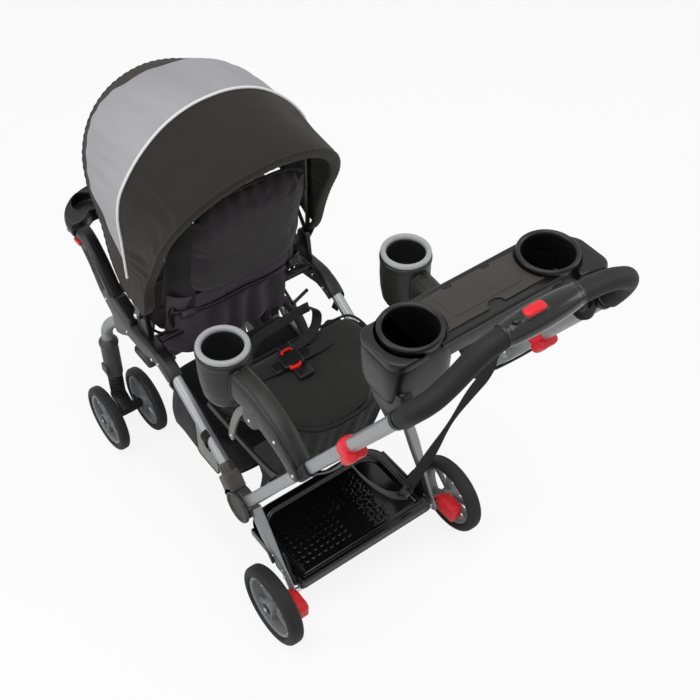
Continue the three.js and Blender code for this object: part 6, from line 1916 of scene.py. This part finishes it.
for s in (1, -1):
    plate = soft(
        [(456, 972), (476, 940), (512, 913), (530, 911.5), (550, 930), (556, 958), (540, 984), (470, 992)],
        9, 4,
    )
    tray_shells.append(upright(plate, s * 187.6, 2.6, 1))
    gusset = soft([(462, 966), (548, 950), (540, 988), (470, 996)], 9, 4)
    tray_shells.append(upright(gusset, s * 176, 10, 3))
piece("parent_tray", tray_shells, tray_black, "handle", ("parent_tray",), 50)
piece(
    "tray_screws", [screw((s * 190.2, 523, 922), (s, 0, 0), 4, 2) for s in (1, -1)], bright_steel,
    "handle",
)

# Lid: a matt warm-grey plate, cut round both cups, with a finger notch. It is one moulding with a low
# raised panel, and two tongues at its front edge carry the hinge.
lid_grey = moulded("lid grey", (0.036, 0.034, 0.030), 0.44, (0.09, 0.085, 0.08), 900, 0.04, 0.6, 0.1)
left_arc = arc_line(CUP_AT, 53.4, 221.253, 138.747, 16)
notch = [(16, 523), (13, 515), (6, 511), (-6, 511), (-13, 515), (-16, 523)]
lid_line = np.concatenate([
    left_arc, notch, (left_arc * (-1, 1))[::-1],
    [(-46, 449.6), (-44, 455), (-30, 455), (-28, 449.6), (28, 449.6), (30, 455), (44, 455), (46, 449.6)],
])
lid_shells = [slab(lid_line, 1048.2, 1052.6, 1.2, 2)]
step_line = soft([(-70, 458), (70, 458), (66, 508), (-66, 508)], 9, 4)
lid_shells.append(slab(step_line, 1050, 1053.6, 1.0, 2))
piece("tray_lid", lid_shells, lid_grey, "tray_lid_body", ("tray_lid",), 40)


# Child's cup holders: a charcoal cup with a light grey ring pressed on its rim, on a hollow arm that is
# screwed round the handle tube. A curved steel link keeps the cup level when the frame folds.
cup_charcoal = moulded(
    "cup charcoal", (0.019, 0.018, 0.0175), 0.36, (0.07, 0.07, 0.068), 900, 0.04, 0.7, 0.1
)
cup_inside = moulded("cup inside", (0.022, 0.021, 0.021), 0.2, (0.02, 0.02, 0.02), 1400, 0.01, 0.4, 0.08)
ring_light = moulded("ring light grey", (0.38, 0.385, 0.39), 0.34, (0.5, 0.5, 0.5), 1200, 0.02, 0.4, 0.08)
link_grey = moulded(
    "link grey", (0.19, 0.175, 0.155), 0.34, (0.3, 0.29, 0.27), 900, 0.02, 0.7, 0.1, Metallic=0.3
)
CUP_X, CUP_Y = 209, 71.0
arm_path = smooth(
    [
        (209, 92, 656, 23, 38), (207, 128, 658, 23.4, 36.5), (205.4, 160, 659, 23, 34),
        (204.6, 186, 659, 22, 30), (204, 206, 657, 21.4, 25), (203.6, 232, 649, 20.8, 22.5),
        (203, 264, 632, 19.6, 20), (203, 290, 611, 18.6, 18.4), (203, 309, 596, 17, 17),
    ],
    90,
)
for side, s in SIDES:
    wall = soft(
        [
            (0, 582), (26, 582), (36, 587), (43.5, 602), (48, 630), (50, 660), (50.2, 697), (51.6, 699.4),
            (51.6, 706.8), (48.6, 709.4), (39.2, 709.4), (38.6, 706),
        ],
        2.6, 4, False,
    )
    cup = turned(np.vstack([wall, [(38.0, 690), (36.4, 640), (34, 636), (0, 636)]]), (209, CUP_Y, 0), 2, 72)
    arm = swept(arm_path[:, :3], arm_path[:, 3], arm_path[:, 4], 44, 3.0, (1, 0, 0))
    ring_turn = np.linspace(0, 2 * np.pi, 60)
    seam_ring = np.column_stack([
        207.4 + 23.7 * np.sign(np.cos(ring_turn)) * np.abs(np.cos(ring_turn)) ** 0.667, 123 + 0 * ring_turn,
        657.6 + 36.9 * np.sign(np.sin(ring_turn)) * np.abs(np.sin(ring_turn)) ** 0.667])
    groove = swept(seam_ring, 1.3, sides=8)
    piece(f"cup_seam_{side}", on_side([groove], s), cup_inside, f"cup_arm_{side}_body")
    knee = rod(
        (184.6, 309, 596), (221, 309, 596), 14,
        [14, 15.6, 16.4, 16.6, 16.6, 16.6, 16.6, 16.6, 16.6, 16.6, 16.6, 16.4, 15.6, 14], sides=40,
    )
    cheek = soft(
        [
            (148, 600), (170, 594), (190, 604), (202, 624), (262, 606), (304, 578), (318, 585), (320, 604),
            (296, 626), (252, 654), (206, 670), (156, 676),
        ],
        12, 4,
    )
    side_cheek = slab(cheek, 218.6, 226.4, 2.4, 0, 3)
    shells = [cup, arm, knee, side_cheek]
    shells = on_side(shells, s)
    piece(
        f"cup_arm_{side}", shells, cup_charcoal, f"cup_arm_{side}_body",
        (f"cup_arm_{side}",), 45,
    )
    liner = turned(
        np.array([
            (0, 638.6), (17, 638.6), (18, 640.4), (20, 640.4), (21, 638.6), (30.6, 638.6), (32, 641),
            (35, 641), (36, 643.4), (37.6, 690), (38.4, 708.4), (38.9, 708.4), (38.3, 690), (36.8, 640),
            (34, 635.6), (0, 635.4),
        ]),
        (s * CUP_X, CUP_Y, 0), 2, 64,
    )
    piece(f"cup_liner_{side}", [liner], cup_inside, f"cup_arm_{side}_body")
    rim = soft(
        [
            (38.6, 710.3), (38.6, 715), (40.8, 719.2), (44.4, 720), (48, 719), (49.8, 716), (49.8, 712),
            (48.4, 710.3),
        ],
        1.6, 4,
    )
    piece(
        f"cup_ring_{side}", [turned(np.vstack([rim, rim[:1]]), (s * CUP_X, CUP_Y, 0), 2, 96)], ring_light,
        f"cup_arm_{side}_body", (f"cup_ring_{side}",),
    )
    heads = [screw((s * 226.4, y, z), (s, 0, 0), 3.6, 1.8) for y, z in ((172, 616), (252, 634), (306, 594))]
    piece(f"cup_arm_screws_{side}", heads, bright_steel, f"cup_arm_{side}_body")
    link_line = smooth([(172, 616), (140, 603), (106, 566), (80, 512), (63, 450)], 40)
    tangent = np.gradient(link_line, axis=0)
    tangent /= np.linalg.norm(tangent, axis=1, keepdims=True)
    normal = np.column_stack([-tangent[:, 1], tangent[:, 0]])
    turn_end = np.linspace(0, np.pi, 9)[1:-1]
    tip = (
        link_line[-1]
        + 8 * (np.cos(turn_end)[:, None] * normal[-1] + np.sin(turn_end)[:, None] * tangent[-1])
    )
    head = (
        link_line[0] - 8 * (np.cos(turn_end)[:, None] * normal[0] + np.sin(turn_end)[:, None] * tangent[0])
    )
    link_outline = np.concatenate([link_line + 8 * normal, tip, (link_line - 8 * normal)[::-1], head])
    link_shell = slab(link_outline, 201.2, 206.8, 1, 0)
    piece(
        f"cup_link_{side}", on_side([link_shell], s), link_grey,
        f"cup_link_{side}_body", (f"cup_link_{side}",),
    )
    piece(
        f"cup_link_screw_{side}", [screw((s * 207, 66, 458), (s, 0, 0), 3.2, 1.6)], bright_steel,
        f"cup_link_{side}_body",
    )
    clamp = [
        swept(
            on_handle(np.linspace(404, 440, 20), s * TUBE_X), 13.5 + 1.6 * (np.arange(20) % 3 > 0), 15.4,
            36, 3.4, (1, 0, 0),
        )
    ]
    piece(f"arm_clamp_{side}", clamp, hub_black, "handle")
    anchor_line = on_handle(
        np.linspace(452, 606, 40), s * TUBE_X, 15 + (3.5 + 2.5 * s) * np.sin(np.linspace(0, np.pi, 40))
    )
    piece(
        f"strap_anchor_{side}", [swept(anchor_line, 6, 2.6, 16, 3, (1, 0, 0))], satin_black,
        "handle",
    )

# Child's tray: a black moulding between the arms with a hollow at each end and a shallow snack dish,
# released by a red push button under its left lug.
tray_u, tray_v = np.linspace(-1, 1, 300), np.linspace(-1, 1, 96)
U, V = np.meshgrid(
    np.sin(tray_u * np.pi / 2) * 0.35 + tray_u * 0.65, np.sin(tray_v * np.pi / 2) * 0.3 + tray_v * 0.7
)
end = (1 - np.abs(U) ** 6) ** (1 / 6)
front_edge = (
    -606 + 8 * U**2 + 92 * (1 - np.sqrt(np.clip(1 - np.clip((np.abs(U) - 0.5) / 0.5, 0, 1) ** 2.2, 0, 1)))
)
rear_edge = -516 + 22 * ease(np.abs(U), 0.72, 0.9) + 2 * U**2 - 6 * (1 - end)
TX, TY = 228 * U, front_edge + (rear_edge - front_edge) * (V + 1) / 2
inset = np.minimum((1 - np.abs(V)) * (rear_edge - front_edge) / 2, 228 - np.abs(TX))
tray_z = 604.4 - 7.5 * (1 - ease(inset, 0, 7)) ** 2 + 2.3 * np.exp(-(((inset - 6) / 3.4) ** 2))
for s in (1, -1):
    from_hollow = np.hypot(TX - s * 160, TY + 552)
    tray_z = (
        tray_z + 1.6 * np.exp(-(((from_hollow - 34.5) / 2.2) ** 2)) - 19 * (1 - ease(from_hollow, 28, 33))
    )
dish = (np.abs(TX) / 104) ** 5 + (np.abs(TY + 564) / 26) ** 5
tray_z = tray_z - 12 * (1 - ease(dish, 0.75, 1.25)) + 1.2 * np.exp(-(((dish - 1.5) / 0.35) ** 2))
tray_top = np.stack([TX, TY, tray_z], -1)
tray_under = np.stack([TX * 0.985, (TY + 575) * 0.96 - 575, np.full_like(TX, 577.2)], -1)
edge_top, edge_under = rim_row(tray_top, 0), rim_row(tray_under, 0)
levels = np.array([0, 0.25, 0.5, 0.75, 1.0])[:, None, None]
bulge = 1.2 * np.sin(np.pi * levels)
away = edge_top - (0, -575, 0)
away[:, 2] = 0
away /= np.linalg.norm(away, axis=1, keepdims=True) + 1e-9
tray_wall = edge_top[None] * (1 - levels) + edge_under[None] * levels + bulge * away[None]
lugs = [
    turned(
        soft([(0, 574.6), (15, 574.6), (15.8, 575.6), (15.8, 578), (0, 578)], 0.6, 2, False),
        (s * TUBE_X, -538, 0), 2, 36,
    )
    for s in (1, -1)
]
piece(
    "child_tray",
    [upward(skin(tray_top), 1), upward(skin(tray_under), -1), skin(tray_wall, around=True), *lugs],
    satin_black, "child_tray_body", ("child_tray",), 45,
)
push = slab(
    soft([(-504.4, 561.4), (-479.6, 561.4), (-479.6, 570.6), (-504.4, 570.6)], 4, 4), 215, 223.4, 1.6, 0
)
piece("tray_button", [push], collar_red, "tray_button_body", ("tray_button",))

# Safety strap: black webbing that hangs between the handle tubes behind the standing child, with a
# ladder-lock adjuster where its two halves meet.
strap_left = smooth(
    [(190.5, 377, 699), (161, 376, 658), (128, 377, 590), (92, 378, 528), (58, 378, 482), (30, 378, 458)],
    70,
)
strap_right = smooth(
    [
        (-190, 378, 722), (-174, 377, 731), (-162, 377, 716), (-157, 377, 692), (-143, 377, 668),
        (-121, 377, 649), (-97, 377, 625), (-71, 377, 593), (-47, 377, 558), (-22, 377, 524), (4, 377, 493),
        (24, 378, 470),
    ],
    80,
)
twist = 12 - 7.5 * np.exp(-(((np.linspace(0, 1, 80) - 0.55) / 0.16) ** 2))
first = strap("safety_strap_left", strap_left, 12, (0.25, 0.9, 0.3), "handle")
strap("safety_strap_right", strap_right, twist, (-0.1, 0.95, 0.2), "handle")
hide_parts("safety_strap")
lock_line = soft([(-17, -12), (17, -12), (17, 12), (-17, 12)], 5, 4)
ladder = [slab(lock_line, -2.4, 2.4, 1, 1)]
for step in (-9, 0, 9):
    ladder.append(swept(np.linspace((-13, 0, step), (13, 0, step), 6), 1.6, 3.6, 10, 2, (0, 0, 1)))
ladder = [moved(moved(shell, turn=0.55, axis=1), by=(27, 378, 466)) for shell in ladder]
piece("strap_adjuster", ladder, buckle_black, "handle")
for side, s in SIDES:
    piece(
        f"strap_pin_{side}", [rod((s * 188, 377, 699), (s * 205, 377, 699), 6, 6, sides=20)], bright_steel,
        "handle",
    )
